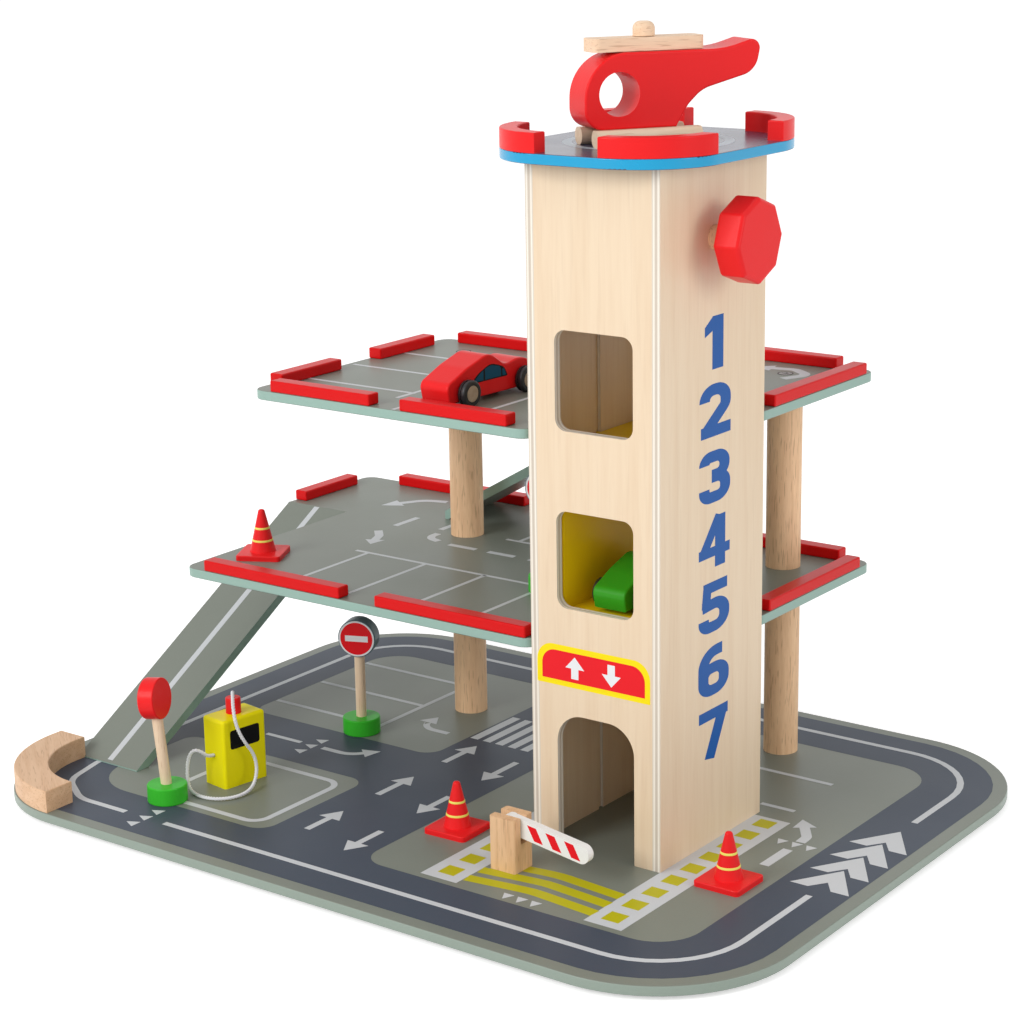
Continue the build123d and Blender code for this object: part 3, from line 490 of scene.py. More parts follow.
for finish, names in FINISHES.items():
    for name in names:
        for material_slot in cad_nodes[name].material_slots:
            material_slot.material = finish
        finished.add(name)
print("finished", len(finished), "left over", sorted(set(cad_nodes) - finished))

# %% [markdown]
# ## The pump's hose
# A white cotton string leaves the pump's side, falls to the board, makes a loop and climbs to the
# nozzle. Its route is a smooth NURBS spline of fixed length. Three strands then twist round that route,
# because a real string shows its lay at this size, and a plain tube would look like plastic.

# %% Hose route
HOSE_D = 2.4 * MM
HOSE_ROUTE = [
    (-143.86, -111.73, 28.9), (-145.05, -119.24, 28.9), (-146.4, -123.0, 33.0), (-149.9, -125.6, 34.8),
    (-153.4, -126.8, 31.8), (-155.2, -127.6, 25.0), (-155.2, -128.2, 17.6), (-152.4, -130.2, 11.8),
    (-146.4, -133.2, 9.9), (-137.0, -135.8, 9.9), (-125.8, -133.8, 9.9), (-118.4, -125.4, 9.9),
    (-117.2, -114.0, 10.2), (-119.8, -104.8, 13.0), (-122.6, -99.4, 20.5), (-123.2, -101.4, 30.6),
    (-124.4, -108.4, 40.2), (-126.8, -112.0, 50.5), (-131.2, -109.4, 60.2), (-136.2, -104.0, 66.4),
    (-141.7, -98.1, 67.6), (-141.7, -98.1, 60.0),
]


def route_points(name, route):
    """The points along a smooth spline through the route's control points."""
    curve = bpy.data.curves.new(name, "CURVE")
    curve.dimensions = "3D"
    curve.resolution_u = 24
    spline = curve.splines.new("NURBS")
    spline.points.add(len(route) - 1)
    for point, (x, y, z) in zip(spline.points, route):
        point.co = (x * MM, y * MM, z * MM, 1)
    spline.order_u = 3
    spline.use_endpoint_u = True
    guide = bpy.data.objects.new(name, curve)
    bpy.context.collection.objects.link(guide)
    mesh = bpy.data.meshes.new_from_object(guide)
    points = [vertex.co.copy() for vertex in mesh.vertices]
    bpy.data.objects.remove(guide)
    bpy.data.meshes.remove(mesh)
    return points


hose_points = route_points("hose_guide", HOSE_ROUTE)

# %% Hose strands
STRAND_R = 0.66 * MM
STRAND_OFF = HOSE_D / 2 - STRAND_R
LAY_LENGTH = 5.6 * MM
STRAND_SIDES = 8


def carried_frames(points):
    """At each point the route's direction, and two side directions that turn as little as they can."""
    frames = []
    side = Vector((0, 0, 1))
    for i, here in enumerate(points):
        ahead = points[min(i + 1, len(points) - 1)] - points[max(i - 1, 0)]
        ahead.normalize()
        side = (side - ahead * side.dot(ahead)).normalized()
        frames.append((here, side.copy(), ahead.cross(side)))
    return frames


def twisted_string(name, points):
    vertices = []
    faces = []
    frames = carried_frames(points)
    lengths = [0.0]
    for a, b in zip(points, points[1:]):
        lengths.append(lengths[-1] + (b - a).length)
    for strand in range(3):
        first = len(vertices)
        for (here, u, v), run in zip(frames, lengths):
            lay = 2 * math.pi * (run / LAY_LENGTH + strand / 3)
            centre = here + STRAND_OFF * (math.cos(lay) * u + math.sin(lay) * v)
            for k in range(STRAND_SIDES):
                angle = lay + 2 * math.pi * k / STRAND_SIDES
                vertices.append(centre + STRAND_R * (math.cos(angle) * u + math.sin(angle) * v))
        rings = len(points)
        for i in range(rings - 1):
            for k in range(STRAND_SIDES):
                a = first + i * STRAND_SIDES + k
                b = first + i * STRAND_SIDES + (k + 1) % STRAND_SIDES
                faces.append((a, b, b + STRAND_SIDES, a + STRAND_SIDES))
        faces.append([first + k for k in reversed(range(STRAND_SIDES))])
        last = first + (rings - 1) * STRAND_SIDES
        faces.append([last + k for k in range(STRAND_SIDES)])
    mesh = bpy.data.meshes.new(name)
    mesh.from_pydata(vertices, [], faces)
    mesh.shade_smooth()
    piece = bpy.data.objects.new(name, mesh)
    bpy.context.collection.objects.link(piece)
    return piece


hose = twisted_string("pump_hose_string", hose_points)
hose.data.materials.append(COTTON)
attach(hose, "fuel_pump")
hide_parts("pump_hose")
print("hose faces", len(hose.data.polygons))

# %% [markdown]
# ## Drawing flat prints
# The printed roads and marks are very thin painted shapes. Each one is drawn as a closed flat curve,
# given a few hundredths of a millimetre of thickness, made a mesh, and only then moved into place.
# Outlines inside one another leave holes. Shapes that overlap differ by a few thousandths in height, so
# that no two faces share one plane.

# %% Outline helpers
ARC_STEP = math.radians(9)


def ease(corners, closed=True):
    """Points of an outline whose corners (x, y, radius) are rounded."""
    points = []
    count = len(corners)
    for i, (x, y, radius) in enumerate(corners):
        here = Vector((x, y))
        if radius == 0 or (not closed and i in (0, count - 1)):
            points.append(here)
            continue
        before = (Vector(corners[i - 1][:2]) - here).normalized()
        after = (Vector(corners[(i + 1) % count][:2]) - here).normalized()
        half = before.angle(after) / 2
        start = here + before * radius / math.tan(half)
        end = here + after * radius / math.tan(half)
        centre = here + (before + after).normalized() * radius / math.sin(half)
        first = math.atan2(start.y - centre.y, start.x - centre.x)
        last = math.atan2(end.y - centre.y, end.x - centre.x)
        sweep = (last - first + math.pi) % (2 * math.pi) - math.pi
        steps = max(2, math.ceil(abs(sweep) / ARC_STEP))
        for k in range(steps + 1):
            angle = first + sweep * k / steps
            points.append(centre + radius * Vector((math.cos(angle), math.sin(angle))))
    return points


def stroke(corners, width, closed=False):
    """The outlines of a line of that width along rounded corners."""
    path = ease(corners, closed)
    count = len(path)
    sides = ([], [])
    for i, here in enumerate(path):
        before = path[i - 1] if closed or i > 0 else None
        after = path[(i + 1) % count] if closed or i < count - 1 else None
        runs = [(here - before).normalized()] if before is not None else []
        runs += [(after - here).normalized()] if after is not None else []
        normals = [Vector((-run.y, run.x)) for run in runs]
        middle = sum(normals, Vector((0, 0))).normalized()
        reach = width / 2 / max(0.3, middle.dot(normals[0]))
        sides[0].append(here + middle * reach)
        sides[1].append(here - middle * reach)
    if closed:
        return [sides[0], sides[1]]
    return [sides[0] + sides[1][::-1]]


def rectangle(x0, y0, x1, y1, radius=0.0):
    return [ease([(x0, y0, radius), (x1, y0, radius), (x1, y1, radius), (x0, y1, radius)])]


def disc(x, y, radius, steps=64):
    ring = [2 * math.pi * k / steps for k in range(steps)]
    return [[Vector((x + radius * math.cos(a), y + radius * math.sin(a))) for a in ring]]


def polygon(*points):
    return [[Vector(p) for p in points]]


def arrow(corners, width, head_length, head_width):
    """A line that ends in a triangle. The last corner is the tip."""
    tip = Vector(corners[-1][:2])
    run = (tip - Vector(corners[-2][:2])).normalized()
    side = Vector((-run.y, run.x)) * head_width / 2
    neck = tip - run * head_length
    tail = list(corners[:-1]) + [(neck.x + run.x * 0.5, neck.y + run.y * 0.5, 0)]
    return [stroke(tail, width), [[tip, neck + side, neck - side]]]


# %% Print helper
PRINT_T = 0.06 * MM
LAYER_STEP = 0.004 * MM


def deselect():
    for chosen in list(bpy.context.selected_objects):
        chosen.select_set(False)


def make_print(name, shapes, ink, body, place, top=0.05):
    """shapes are lists of outlines in mm. place turns the flat sheet's X and Y to where it lies."""
    deselect()
    for k, shape in enumerate(shapes):
        curve = bpy.data.curves.new(name, "CURVE")
        curve.dimensions = "2D"
        curve.fill_mode = "BOTH"
        curve.extrude = PRINT_T / 2 + k % 3 * LAYER_STEP
        for outline in shape:
            spline = curve.splines.new("POLY")
            spline.points.add(len(outline) - 1)
            for point, corner in zip(spline.points, outline):
                point.co = (corner[0] * MM, corner[1] * MM, 0, 1)
            spline.use_cyclic_u = True
        drawn = bpy.data.objects.new(name, curve)
        bpy.context.collection.objects.link(drawn)
        drawn.select_set(True)
        bpy.context.view_layer.objects.active = drawn
    return finish_print(name, ink, body, place, top)


def finish_print(name, ink, body, place, top):
    """Makes the selected curves one closed mesh and puts it in place."""
    bpy.ops.object.convert(target="MESH")
    if len(bpy.context.selected_objects) > 1:
        bpy.ops.object.join()
    piece = bpy.context.view_layer.objects.active
    piece.name = name
    piece.data.name = name
    bpy.ops.object.mode_set(mode="EDIT")
    bpy.ops.mesh.select_all(action="SELECT")
    bpy.ops.mesh.remove_doubles(threshold=1e-6)
    bpy.ops.mesh.normals_make_consistent(inside=False)
    bpy.ops.object.mode_set(mode="OBJECT")
    lift = Matrix.Translation((0, 0, top * MM - PRINT_T / 2))
    piece.data.transform(place @ lift)
    piece.data.materials.clear()
    piece.data.materials.append(ink)
    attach(piece, body)
    piece.select_set(False)
    return piece


def lying(z):
    """The sheet lies on a board, at a height in mm."""
    return Matrix.Translation((0, 0, z * MM))


def standing(origin, along, up):
    """The sheet's X runs along one direction and its Y along another, from an origin in mm."""
    along = Vector(along).normalized()
    up = Vector(up).normalized()
    turned = Matrix((along, up, along.cross(up))).transposed()
    return Matrix.Translation(Vector(origin) * MM) @ turned.to_4x4()


# %% [markdown]
# ## Roads on the base board
# The artwork was measured on a grid of 0.88 mm squares. Its dark road runs round the edge, with two
# cross roads, and what is left of the olive board shows as islands.

# %% Roads
GRID = 0.88
GROUND = 8.5


def at(x, y, radius=0.0):
    """A corner of the artwork's grid, in mm from the middle of the toy."""
    return ((x + 180.425) * GRID, (y - 81.725) * GRID, radius * GRID)


def grid(*corners):
    return [at(*corner) for corner in corners]


def dash(x0, y0, x1, y1, width):
    """A straight line on the artwork's grid."""
    return stroke(grid((x0, y0, 0), (x1, y1, 0)), width)


outer_edge = ease(grid((-480, -143.4, 73.5), (119.1, -143.4, 86), (119.1, 306.8, 86), (-480, 306.8, 73.5)))
pump_island = ease(grid((-431, -92, 40), (-260.5, -92, 14), (-260.5, 18, 14), (-431, 18, 10)))
stall_island = ease(grid((-431, 85, 14), (-254.5, 85, 14), (-254.5, 255.7, 14), (-431, 255.7, 28)))
tower_island = ease(grid((-175, -92, 18), (68.2, -92, 30.7), (68.2, 255.7, 30.7), (-175, 255.7, 16)))
road = make_print("base_road_print", [[outer_edge, pump_island, stall_island, tower_island]], ROAD,
                  "garage", lying(GROUND))
print("road faces", len(road.data.polygons))

# %% Road lines
LANE = 4.7 * GRID
FINE = 4.0 * GRID
lines = [
    stroke(grid((-452, -40, 0), (-449, -64, 20), (-440, -99, 28), (-408, -119.4, 30), (-363, -119.4, 0)),
           LANE),
    stroke(grid((-326, -119.4, 0), (96.4, -119.4, 62.4), (96.4, 23, 0)), LANE),
    stroke(grid((96.4, 166, 0), (96.4, 284, 62.4), (-454, 284, 52), (-454, 24, 0)), LANE),
    stroke(grid((-368, -83.5, 12), (-273, -83.5, 12), (-273, 5, 12), (-368, 5, 12)), LANE, True),
    dash(-386, 52, -352, 52, FINE),
    dash(-430, 113, -327, 113, FINE),
    dash(-430, 166, -327, 166, FINE),
    dash(-430, 222, -327, 222, FINE),
    dash(-325.5, 104, -325.5, 212, FINE),
    dash(-60, 196.5, 17, 196.5, FINE),
    dash(-7, 139, 19.5, 139, FINE),
    dash(48.8, 48, 48.8, 79, 7 * GRID),
]
ARROW_W = 5.0 * GRID
ARROW_HEAD = 15 * GRID
ARROW_HEAD_W = 18 * GRID
ZEBRA_PITCH = 11.5
ZEBRA_W = 7
CHEVRON_PITCH = 26.1
for x, start, end in (
    (-238, -72.5, -34), (-238, 3, 44), (-238, 79, 118.6),
    (-193.5, -47, -86.6), (-193.5, 28, -9), (-193.5, 107.7, 65),
):
    lines += arrow(grid((x, start, 0), (x, end, 0)), ARROW_W, ARROW_HEAD, ARROW_HEAD_W)
lines += arrow(grid((49.5, 94, 0), (48.8, 104, 8), (31.4, 129.2, 0)), 7 * GRID, 14 * GRID, 16 * GRID)
lines += arrow(grid((-331, 52, 0), (-306, 52, 18), (-290, 70, 0)), ARROW_W, 13 * GRID, 16 * GRID)
lines += arrow(grid((-272, 128, 0), (-300, 128, 14), (-300, 152, 0)), ARROW_W, 13 * GRID, 16 * GRID)
for k in range(7):
    x = -252.7 + ZEBRA_PITCH * k
    lines.append([ease(grid((x, 130), (x + ZEBRA_W, 130), (x + ZEBRA_W, 184), (x, 184)))])
for k in range(4):
    tip = 147 - CHEVRON_PITCH * k
    lines.append([ease(grid((96, tip), (117.5, tip - 33), (104.5, tip - 33), (96.4, tip - 21.8),
                            (88.3, tip - 33.4), (75.4, tip - 33.4)))])
make_print("base_line_print", lines, LINE, "garage", lying(GROUND), top=0.09)
print("road lines", len(lines))

# %% [markdown]
# Where the road meets another, small white triangles tell a driver to give way.

# %% Give-way marks


def give_way(x, y, heading, count=3, size=9.0):
    """A row of triangles across the lane, on the artwork's grid. They point along the heading."""
    ahead = Vector((math.cos(math.radians(heading)), math.sin(math.radians(heading))))
    side = Vector((-ahead.y, ahead.x))
    marks = []
    for k in range(count):
        middle = Vector((x, y)) + side * size * 1.35 * (k - (count - 1) / 2)
        corners = [middle - ahead * size * 0.6, middle + ahead * size * 0.4 + side * size * 0.5,
                   middle + ahead * size * 0.4 - side * size * 0.5]
        marks.append([[Vector(at(*corner)[:2]) for corner in corners]])
    return marks


marks = give_way(-344.5, -119.4, 0) + give_way(-341, 50.5, 0) + give_way(-50, -84.6, 90, size=8)
marks += give_way(48.8, 88.5, 90, size=8)
make_print("give_way_print", marks, LINE, "garage", lying(GROUND), top=0.10)
print("give-way marks", len(marks))

# %% Parking strips with yellow squares
strips = [
    [ease(grid((-0.3, -86.7), (27.6, -86.7), (27.6, 119), (-0.3, 119)))],
    [ease(grid((-128.4, -86.7), (-99.4, -86.7), (-99.4, 40), (-128.4, 40)))],
]
make_print("strip_print", strips, LINE, "garage", lying(GROUND), top=0.06)
SQUARE = 13
SQUARE_PITCH = 22.6
BAND_W = 9.2 * GRID
squares = []
for left in (7.2, -120.4):
    for k in range(9 if left > 0 else 5):
        low = -79 + SQUARE_PITCH * k
        high = low + SQUARE
        squares.append([ease(grid((left, low), (left + SQUARE, low), (left + SQUARE, high), (left, high)))])
for low in (-76.0, -61.0, -46.2):
    path = [(-99, low, 0), (-51, low + 6.2, 60), (0, low + 1.2, 0)]
    squares.append(stroke(grid(*path), BAND_W))
make_print("yellow_mark_print", squares, PRINT_YELLOW, "garage", lying(GROUND), top=0.10)
print("yellow marks", len(squares))

# %% [markdown]
# ## Lines on the decks and ramps
# The decks carry thinner lines: parking bays, lane dashes and arrows. Each ramp has one centre line,
# which is drawn flat and then tilted to the ramp's slope.

# %% Lower deck lines
LOWER_TOP = 132.0
DECK_LINE = 3.2 * GRID
deck_lines = [dash(-333, 100.5, -128, 100.5, DECK_LINE)]
for x in (-321, -267, -213.5, -161):
    deck_lines.append(dash(x, 13, x, 100.5, DECK_LINE))
deck_lines += [
    dash(-352, 170, -352, 198, 5 * GRID),
    dash(-315.5, 180, -315.5, 205, 5 * GRID),
    dash(-284.5, 150.5, -259.5, 150.5, 5 * GRID),
    dash(-248, 150.5, -224, 150.5, 5 * GRID),
    dash(-211, 150.5, -187, 150.5, 5 * GRID),
    stroke(grid((-310, 170, 0), (-310, 157, 10), (-297, 153.5, 0)), 6 * GRID),
    dash(-257, 185.5, -222, 185.5, DECK_LINE),
    dash(-245.5, 185.5, -245.5, 230, DECK_LINE),
]
deck_lines += arrow(grid((-362, 248, 0), (-380, 243, 20), (-400, 212, 0)), 6 * GRID, 16 * GRID, 18 * GRID)
deck_lines += arrow(grid((-354, 152, 0), (-344, 141, 10), (-335, 119.5, 0)), 6.5 * GRID, 12 * GRID, 15 * GRID)
make_print("lower_deck_print", deck_lines, LINE, "garage", lying(LOWER_TOP))
print("lower deck marks", len(deck_lines))

# %% Upper deck lines
UPPER_TOP = 255.5
upper_lines = [
    dash(-331, 155.5, -250, 155.5, DECK_LINE),
    dash(-331, 102.7, -236, 102.7, DECK_LINE),
    dash(-331, 47.5, -230, 47.5, DECK_LINE),
    dash(-232, 30, -232, 80, DECK_LINE),
    dash(-211, 0, -211, 12, DECK_LINE),
    dash(-155.5, 12, -155.5, 85, DECK_LINE),
]
upper_lines += arrow(grid((-42, 222, 0), (-33, 242, 9), (-50, 253.5, 9), (-80, 247, 0)),
                     7.5 * GRID, 14 * GRID, 18 * GRID)
make_print("upper_deck_print", upper_lines, LINE, "garage", lying(UPPER_TOP))
print("upper deck marks", len(upper_lines))

# %% [markdown]
# A screw holds the upper deck on each of its columns, and its crossed head shows in the deck. The shade in
# its sunk hole and in its cross slots is painted shade: a black ring round the head and a black cross on it.

# %% Screw heads
SCREW_R = 4.2
RIM_SHADOW_W = 0.8
SLOT_REACH = 2.4
SLOT_HALF = 0.5
SLOT_GAP = 0.1
for k, (x, y) in enumerate(((-98.0, 88.9), (115.4, 137.7))):
    # Painted shade: the black ring stands for the shadow in the sunk hole round the head, and the black cross
    # stands for the shade in the slots.
    rim_shadow = disc(x, y, SCREW_R + RIM_SHADOW_W) + disc(x, y, SCREW_R)
    cross = rectangle(x - SLOT_REACH, y - SLOT_HALF, x + SLOT_REACH, y + SLOT_HALF)
    cross += rectangle(x - SLOT_HALF, y + SLOT_HALF + SLOT_GAP, x + SLOT_HALF, y + SLOT_REACH)
    make_print(f"screw_{k + 1}_head", [disc(x, y, SCREW_R)], SCREW, "garage", lying(UPPER_TOP), top=0.12)
    make_print(f"screw_{k + 1}_rim", [rim_shadow, cross], PRINT_BLACK, "garage", lying(UPPER_TOP), top=0.16)
print("screw heads made")

# %% Ramp lines
RAMP_LINE_HALF = 2.2
SLOPE = math.radians(30)


def ramp_line(run):
    """It starts just below the ramp's head and stops 4 mm before its foot."""
    return [rectangle(-RAMP_LINE_HALF, -run + 4, RAMP_LINE_HALF, -0.4)]


LOWER_RAMP_HEAD = (-228.85, 87.4)
LOWER_RAMP_RISE = LOWER_TOP - GROUND
ramp_run = LOWER_RAMP_RISE / math.sin(SLOPE)
uphill = (0, math.cos(SLOPE), math.sin(SLOPE))
ramp_place = standing((LOWER_RAMP_HEAD[0], LOWER_RAMP_HEAD[1], LOWER_TOP), (1, 0, 0), uphill)
make_print("lower_ramp_print", ramp_line(ramp_run), LINE, "garage", ramp_place)
UPPER_RAMP_HEAD = (70.8, 136.45)
UPPER_RAMP_RISE = UPPER_TOP - LOWER_TOP
UPPER_RAMP_LIP = 5.4
upper_run = (UPPER_RAMP_RISE - UPPER_RAMP_LIP) / math.sin(SLOPE)
uphill = (math.cos(SLOPE), 0, math.sin(SLOPE))
ramp_place = standing((UPPER_RAMP_HEAD[0], UPPER_RAMP_HEAD[1], UPPER_TOP), (0, -1, 0), uphill)
make_print("upper_ramp_print", ramp_line(upper_run), LINE, "garage", ramp_place)
print("ramp lines", round(ramp_run, 1), "mm long")

# %% [markdown]
# ## The tower's plate and numerals
# Over the door sits a red plate with a yellow border and two white arrows, one up and one down. Seven
# plain blue numerals run down the right face, drawn with the same bold strokes as the road lines.

# %% Lift plate
front_face = standing((0, TOWER_FRONT, 0), (1, 0, 0), (0, 0, 1))
plate = [ease([(74.8, 107.8, 0.6), (152.1, 107.8, 0.6), (152.1, 132.2, 11), (74.8, 132.2, 11)])]
plate_red = [ease([(78.3, 111.0, 0.4), (148.6, 111.0, 0.4), (148.6, 128.7, 9), (78.3, 128.7, 9)])]
make_print("lift_plate_border", [plate], PLATE_YELLOW, "garage", front_face, top=0.03)
make_print("lift_plate_field", [plate_red], PRINT_RED, "garage", front_face, top=0.06)
PLATE_ARROW = (5.0, 7.0, 13.0)
plate_arrows = arrow([(101, 113.2, 0), (101, 126.4, 0)], *PLATE_ARROW)
plate_arrows += arrow([(126, 126.4, 0), (126, 113.2, 0)], *PLATE_ARROW)
make_print("lift_plate_arrows", plate_arrows, PRINT_WHITE, "garage", front_face, top=0.10)
print("plate made")

# %% Numerals
NUMERAL_W = 20.0
NUMERAL_H = 30.0
NUMERAL_WIDE = 1.66
BAR = 6.6
NUMERALS = {
    "1": [rectangle(8, 0, 15, 30), polygon((8.3, 30), (3.2, 24.5), (3.2, 19), (8.3, 22))],
    "2": [stroke([(3.3, 20.5, 0), (3.3, 26.7, 6), (16.7, 26.7, 6), (16.7, 17, 5), (4.5, 4, 0)], BAR),
          rectangle(1, 0, 20, BAR)],
    "3": [stroke([(3.3, 22.5, 0), (3.3, 26.7, 4), (16.2, 26.7, 5), (16.2, 15.9, 5), (8, 15.9, 0)], BAR),
          stroke([(8, 14.9, 0), (16.7, 14.9, 5), (16.7, 3.3, 5), (3.3, 3.3, 4), (3.3, 8.5, 0)], BAR)],
    "4": [stroke([(13.2, 30, 0), (3, 10, 0)], 5.4), rectangle(0, 6.6, 20, 12.4), rectangle(10.4, 0, 17, 30)],
    "5": [rectangle(3, 23.6, 18.5, 30), stroke([(5.6, 27, 0), (4.7, 15.5, 0)], 5.4),
          stroke([(2.4, 16.2, 0), (16.7, 17.4, 6), (16.7, 3.3, 6), (3.3, 3.3, 4), (3.3, 8.5, 0)], BAR)],
    "6": [stroke([(3.3, 3.3, 5.5), (16.7, 3.3, 5.5), (16.7, 16.6, 5.5), (3.3, 16.6, 5.5)], BAR, True),
          stroke([(3.3, 9, 0), (3.3, 26.7, 9), (15.5, 26.7, 0)], BAR)],
    "7": [rectangle(0.5, 23.6, 19.5, 30), stroke([(16, 27, 0), (7.5, 0, 0)], BAR)],
}
NUMERAL_PITCH = 38.2
NUMERAL_TOP_Z = 305.0
NUMERAL_Y = -15.6
for k, (numeral, shapes) in enumerate(NUMERALS.items()):
    shown = [[[Vector(((p[0] - NUMERAL_W / 2) * NUMERAL_WIDE, p[1] - NUMERAL_H / 2)) for p in outline]
              for outline in shape] for shape in shapes]
    place = standing((TOWER_RIGHT, NUMERAL_Y, NUMERAL_TOP_Z - k * NUMERAL_PITCH), (0, 1, 0), (0, 0, 1))
    make_print(f"numeral_{numeral}", shown, PRINT_BLUE, "garage", place, 0.05)
print("numerals made")

# %% [markdown]
# ## Helipad ring, barrier stripes and sign faces
# The stripes and sign faces sit on pieces that move, so each one rides on its own body. The helipad ring
# rides with the garage.

# %% Helipad ring
PAD_TOP = 412.5
PAD_MIDDLE = (110.3, -9.05)
PAD_RING_R = (48.0, 42.5)
ring_outlines = disc(*PAD_MIDDLE, PAD_RING_R[0]) + disc(*PAD_MIDDLE, PAD_RING_R[1])
make_print("helipad_ring_print", [ring_outlines], PAD_RING, "garage", lying(PAD_TOP))
print("ring made")

# %% Barrier stripes
ARM_PIVOT = (84.1, 35.6)
ARM_TILT = math.radians(-8.3)
POST_Y = -111.8
ARM_T = 5.0
along_arm = (math.cos(ARM_TILT), 0, math.sin(ARM_TILT))
up_arm = (-math.sin(ARM_TILT), 0, math.cos(ARM_TILT))
STRIPE_START = 12.1
STRIPE_PITCH = 12.9
STRIPE_SLANT = 6.0
STRIPE_W = 6.2
STRIPE_HALF = 4.0
stripes = []
for k in range(3):
    left = STRIPE_START + STRIPE_PITCH * k
    low = left + STRIPE_SLANT
    stripes.append(polygon((low, -STRIPE_HALF), (low + STRIPE_W, -STRIPE_HALF),
                           (left + STRIPE_W, STRIPE_HALF), (left, STRIPE_HALF)))
for name, y, side in (("front", POST_Y - ARM_T / 2, 1), ("back", POST_Y + ARM_T / 2, -1)):
    place = standing((ARM_PIVOT[0], y, ARM_PIVOT[1]), tuple(side * v for v in along_arm), up_arm)
    shown = [[[Vector((side * p.x, p.y)) for p in outline] for outline in shape] for shape in stripes]
    make_print(f"arm_stripes_{name}", shown, PRINT_RED, "barrier_arm", place)
print("stripes made")

# %% Sign faces
SIGN_DISC_UP = 66.0
SIGN_DISC_T = 10.5
SIGN_WHITE_R = 12.1
SIGN_RED_R = 11.0
SIGN_HOLES = {"no_entry_sign": rectangle(-7.8, -2.0, 7.8, 2.0), "deck_sign": disc(0, 0, 8.2)}
SIGN_PLACES = {
    "no_entry_sign": ((-131.2, 12.6, GROUND), -68.0),
    "deck_sign": ((24.1, 10.8, LOWER_TOP), -75.0),
}
for name, (foot, facing) in SIGN_PLACES.items():
    heading = Vector((math.cos(math.radians(facing)), math.sin(math.radians(facing)), 0))
    centre = Vector(foot) + Vector((0, 0, SIGN_DISC_UP)) + heading * SIGN_DISC_T / 2
    along = Vector((0, 0, 1)).cross(heading)
    place = standing(centre, along, (0, 0, 1))
    red_face = disc(0, 0, SIGN_RED_R) + SIGN_HOLES[name]
    make_print(f"{name}_white", [disc(0, 0, SIGN_WHITE_R)], PRINT_WHITE, name, place, 0.04)
    make_print(f"{name}_red", [red_face], PRINT_RED, name, place, 0.08)
print("sign faces made")

# %% [markdown]
# ## Car windows, pump display and cone rings
# The car windows are blue panes printed over a dark shape, on both sides of each car.

# %% Car windows
CAR_HALF_W = 11.0
CARS = {"red_car": ((-5.6, -15.2, UPPER_TOP), -93.9), "green_car": ((116.5, -18.8, 151.1), -90.0)}
window_frame = [
    ease([(21.2, 12.0, 0.5), (14.5, 17.2, 14), (3.0, 22.0, 12), (-9.5, 18.0, 8), (-12.6, 12.0, 0.5)])
]
panes = [
    [ease([(19.2, 12.7, 0.3), (10.6, 18.3, 12), (9.6, 18.6, 0.3), (9.6, 12.7, 0.3)])],
    [ease([(8.2, 12.7, 0.3), (8.2, 19.2, 0.8), (2.8, 20.7, 8), (-6.4, 18.6, 3), (-6.4, 12.7, 0.3)])],
    [ease([(-7.6, 12.7, 0.3), (-7.6, 17.7, 0.6), (-9.4, 16.4, 2), (-11.2, 12.7, 0.3)])],
]
for car, (middle, heading) in CARS.items():
    nose = Vector((math.cos(math.radians(heading)), math.sin(math.radians(heading)), 0))
    left = Vector((-nose.y, nose.x, 0))
    for side_name, sign in (("left", 1), ("right", -1)):
        origin = Vector(middle) + left * sign * CAR_HALF_W
        place = standing(origin, nose * -sign, (0, 0, 1))
        for part, shapes, ink, top in (
            ("frame", [window_frame], PRINT_BLACK, 0.04), ("panes", panes, GLASS_BLUE, 0.08),
        ):
            shown = [[[Vector((-sign * p.x, p.y)) for p in outline] for outline in shape] for shape in shapes]
            make_print(f"{car}_{side_name}_{part}", shown, ink, car, place, top)
print("car windows made")

# %% Pump display
PUMP_MIDDLE = (-141.7, -98.1)
PUMP_TURN = math.radians(-9)
PUMP_W = 20.6
DISPLAY_Z = 39.5
DISPLAY_HALF = (11.5, 6.2)
pump_right = Vector((math.cos(PUMP_TURN), math.sin(PUMP_TURN), 0))
pump_back = Vector((-pump_right.y, pump_right.x, 0))
display_middle = Vector((*PUMP_MIDDLE, DISPLAY_Z)) + pump_right * PUMP_W / 2
display_place = standing(display_middle, pump_back, (0, 0, 1))
half_w, half_h = DISPLAY_HALF
make_print("pump_display", [rectangle(-half_w, -half_h, half_w, half_h, 1.8)], PRINT_BLACK, "fuel_pump",
           display_place)
print("display made")

# %% Cone rings
CONE_R = 8.4
CONE_TIP_R = 1.9
CONE_LOW = 3.4
CONE_H = 31.0
RING_W = 1.3
RING_PROUD = 0.10
RING_HEIGHTS = (10.9, 18.9)
CONES = {"right_cone": (197.8, -62.0, GROUND), "door_cone": (25.0, -86.4, GROUND),
         "deck_cone": (-177.3, -25.8, LOWER_TOP)}


def cone_radius(height):
    return CONE_R + (CONE_TIP_R - CONE_R) * (height - CONE_LOW) / (CONE_H - CONE_LOW)


for cone, (x, y, z) in CONES.items():
    for k, height in enumerate(RING_HEIGHTS):
        deselect()
        bpy.ops.mesh.primitive_cone_add(
            vertices=64,
            radius1=(cone_radius(height - RING_W / 2) + RING_PROUD) * MM,
            radius2=(cone_radius(height + RING_W / 2) + RING_PROUD) * MM,
            depth=RING_W * MM,
            location=(x * MM, y * MM, (z + height) * MM),
        )
        ring = bpy.context.object
        ring.name = f"{cone}_ring_{k + 1}"
        bpy.ops.object.transform_apply(location=True, rotation=True, scale=True)
        round_off = ring.modifiers.new("rounded", "BEVEL")
        round_off.width = 0.08 * MM
        round_off.segments = 2
        bpy.ops.object.modifier_apply(modifier=round_off.name)
        ring.data.materials.append(RING_YELLOW)
        bpy.ops.object.shade_smooth_by_angle(angle=math.radians(40))
        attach(ring, cone)
print("cone rings made")

# %% [markdown]
# ## Floor and light
# The photograph has a white sweep and soft light from large lamps. The floor is a plain pale plane that
# keeps the toy's shadow. The world is white to the camera and to reflections, and dimmer as a lamp.

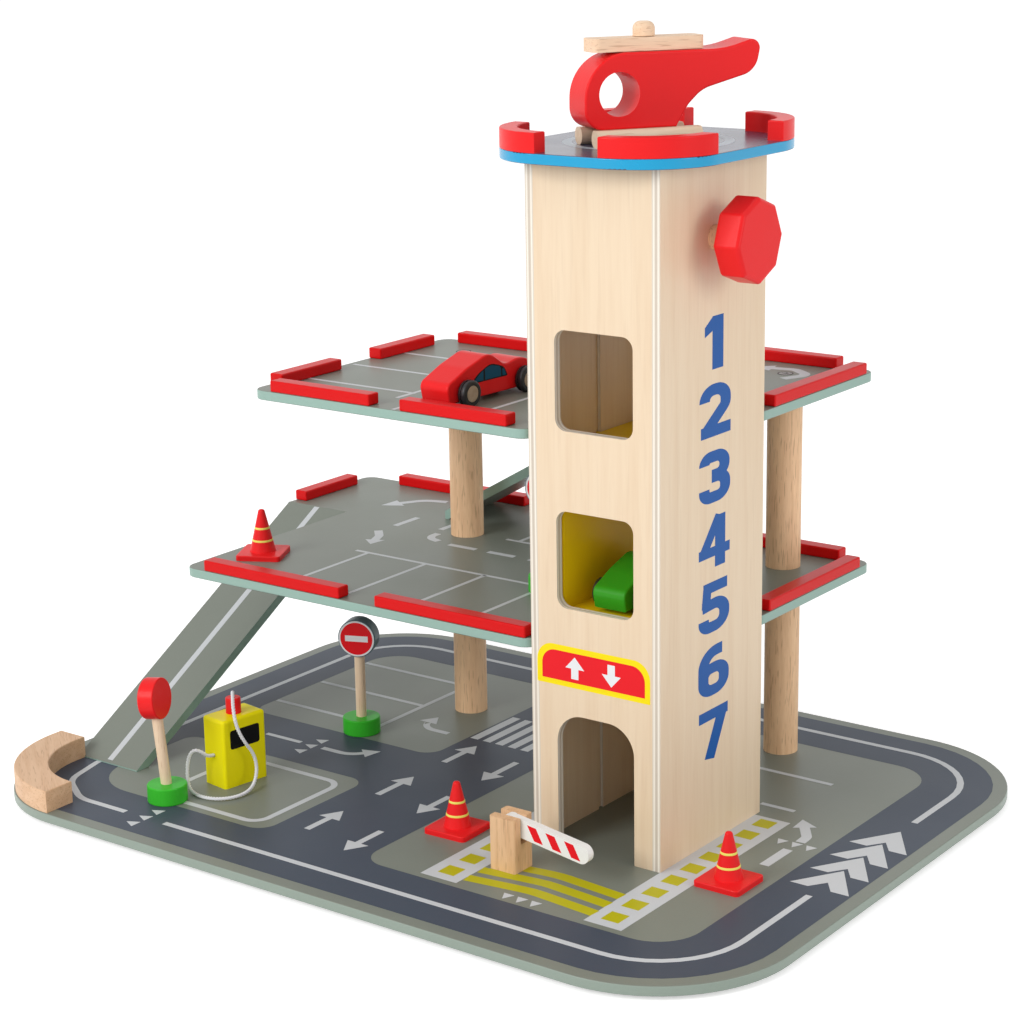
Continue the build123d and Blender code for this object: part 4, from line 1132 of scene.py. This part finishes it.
# %% Floor
FLOOR_R = 16
FLOOR_DROP = 0.0002
FLOOR_GLOW = 0.52
deselect()
bpy.ops.mesh.primitive_circle_add(
    vertices=96, radius=FLOOR_R, fill_type="NGON", location=(0, 0, -FLOOR_DROP)
)
floor = bpy.context.object
floor.name = "studio_floor"


def background_rays(tree):
    """1 for rays from the camera, from glossy faces and through clear ones."""
    path = add(tree, "ShaderNodeLightPath")
    most = math_node(tree, "MAXIMUM", path.outputs["Is Camera Ray"], path.outputs["Is Glossy Ray"])
    return math_node(tree, "MAXIMUM", most, path.outputs["Is Transmission Ray"])


sweep_paint = bpy.data.materials.new("white_sweep")
sweep_paint.use_nodes = True
sweep_tree = sweep_paint.node_tree
sweep_shader = sweep_tree.nodes["Principled BSDF"]
for key, value in (("Base Color", rgb(0.86, 0.86, 0.86)), ("Roughness", 1.0),
                   ("Specular IOR Level", 0.0), ("Emission Color", rgb(1, 1, 1))):
    sweep_shader.inputs[key].default_value = value
wire(sweep_tree, math_node(sweep_tree, "MULTIPLY", background_rays(sweep_tree), FLOOR_GLOW),
     sweep_shader.inputs["Emission Strength"])
floor.data.materials.append(sweep_paint)

# %% World
WORLD_LIGHT = 0.64
world = bpy.data.worlds.new("white_room")
world.use_nodes = True
world_tree = world.node_tree
sky = world_tree.nodes["Background"]
sky.inputs["Color"].default_value = rgb(1, 1, 1)
level = math_node(world_tree, "MULTIPLY", background_rays(world_tree), 1.0 - WORLD_LIGHT)
wire(world_tree, math_node(world_tree, "ADD", level, WORLD_LIGHT), sky.inputs["Strength"])
bpy.context.scene.world = world
print("world light", WORLD_LIGHT)

# %% Lamps
AIM = Vector((0.02, 0.0, 0.22))


def soft_box(name, place, size, power):
    """A large square lamp that looks at the toy."""
    bpy.ops.object.light_add(type="AREA", location=place)
    lamp = bpy.context.object
    lamp.name = name
    lamp.data.shape = "SQUARE"
    lamp.data.size = size
    lamp.data.energy = power
    lamp.rotation_euler = (AIM - Vector(place)).to_track_quat("-Z", "Y").to_euler()


deselect()
soft_box("front_soft_box", (-0.70, -2.30, 1.45), 1.2, 36.0)
soft_box("right_soft_box", (2.00, 0.10, 0.85), 0.9, 8.8)
bpy.context.scene.view_settings.view_transform = "Standard"
print("lamps ready")
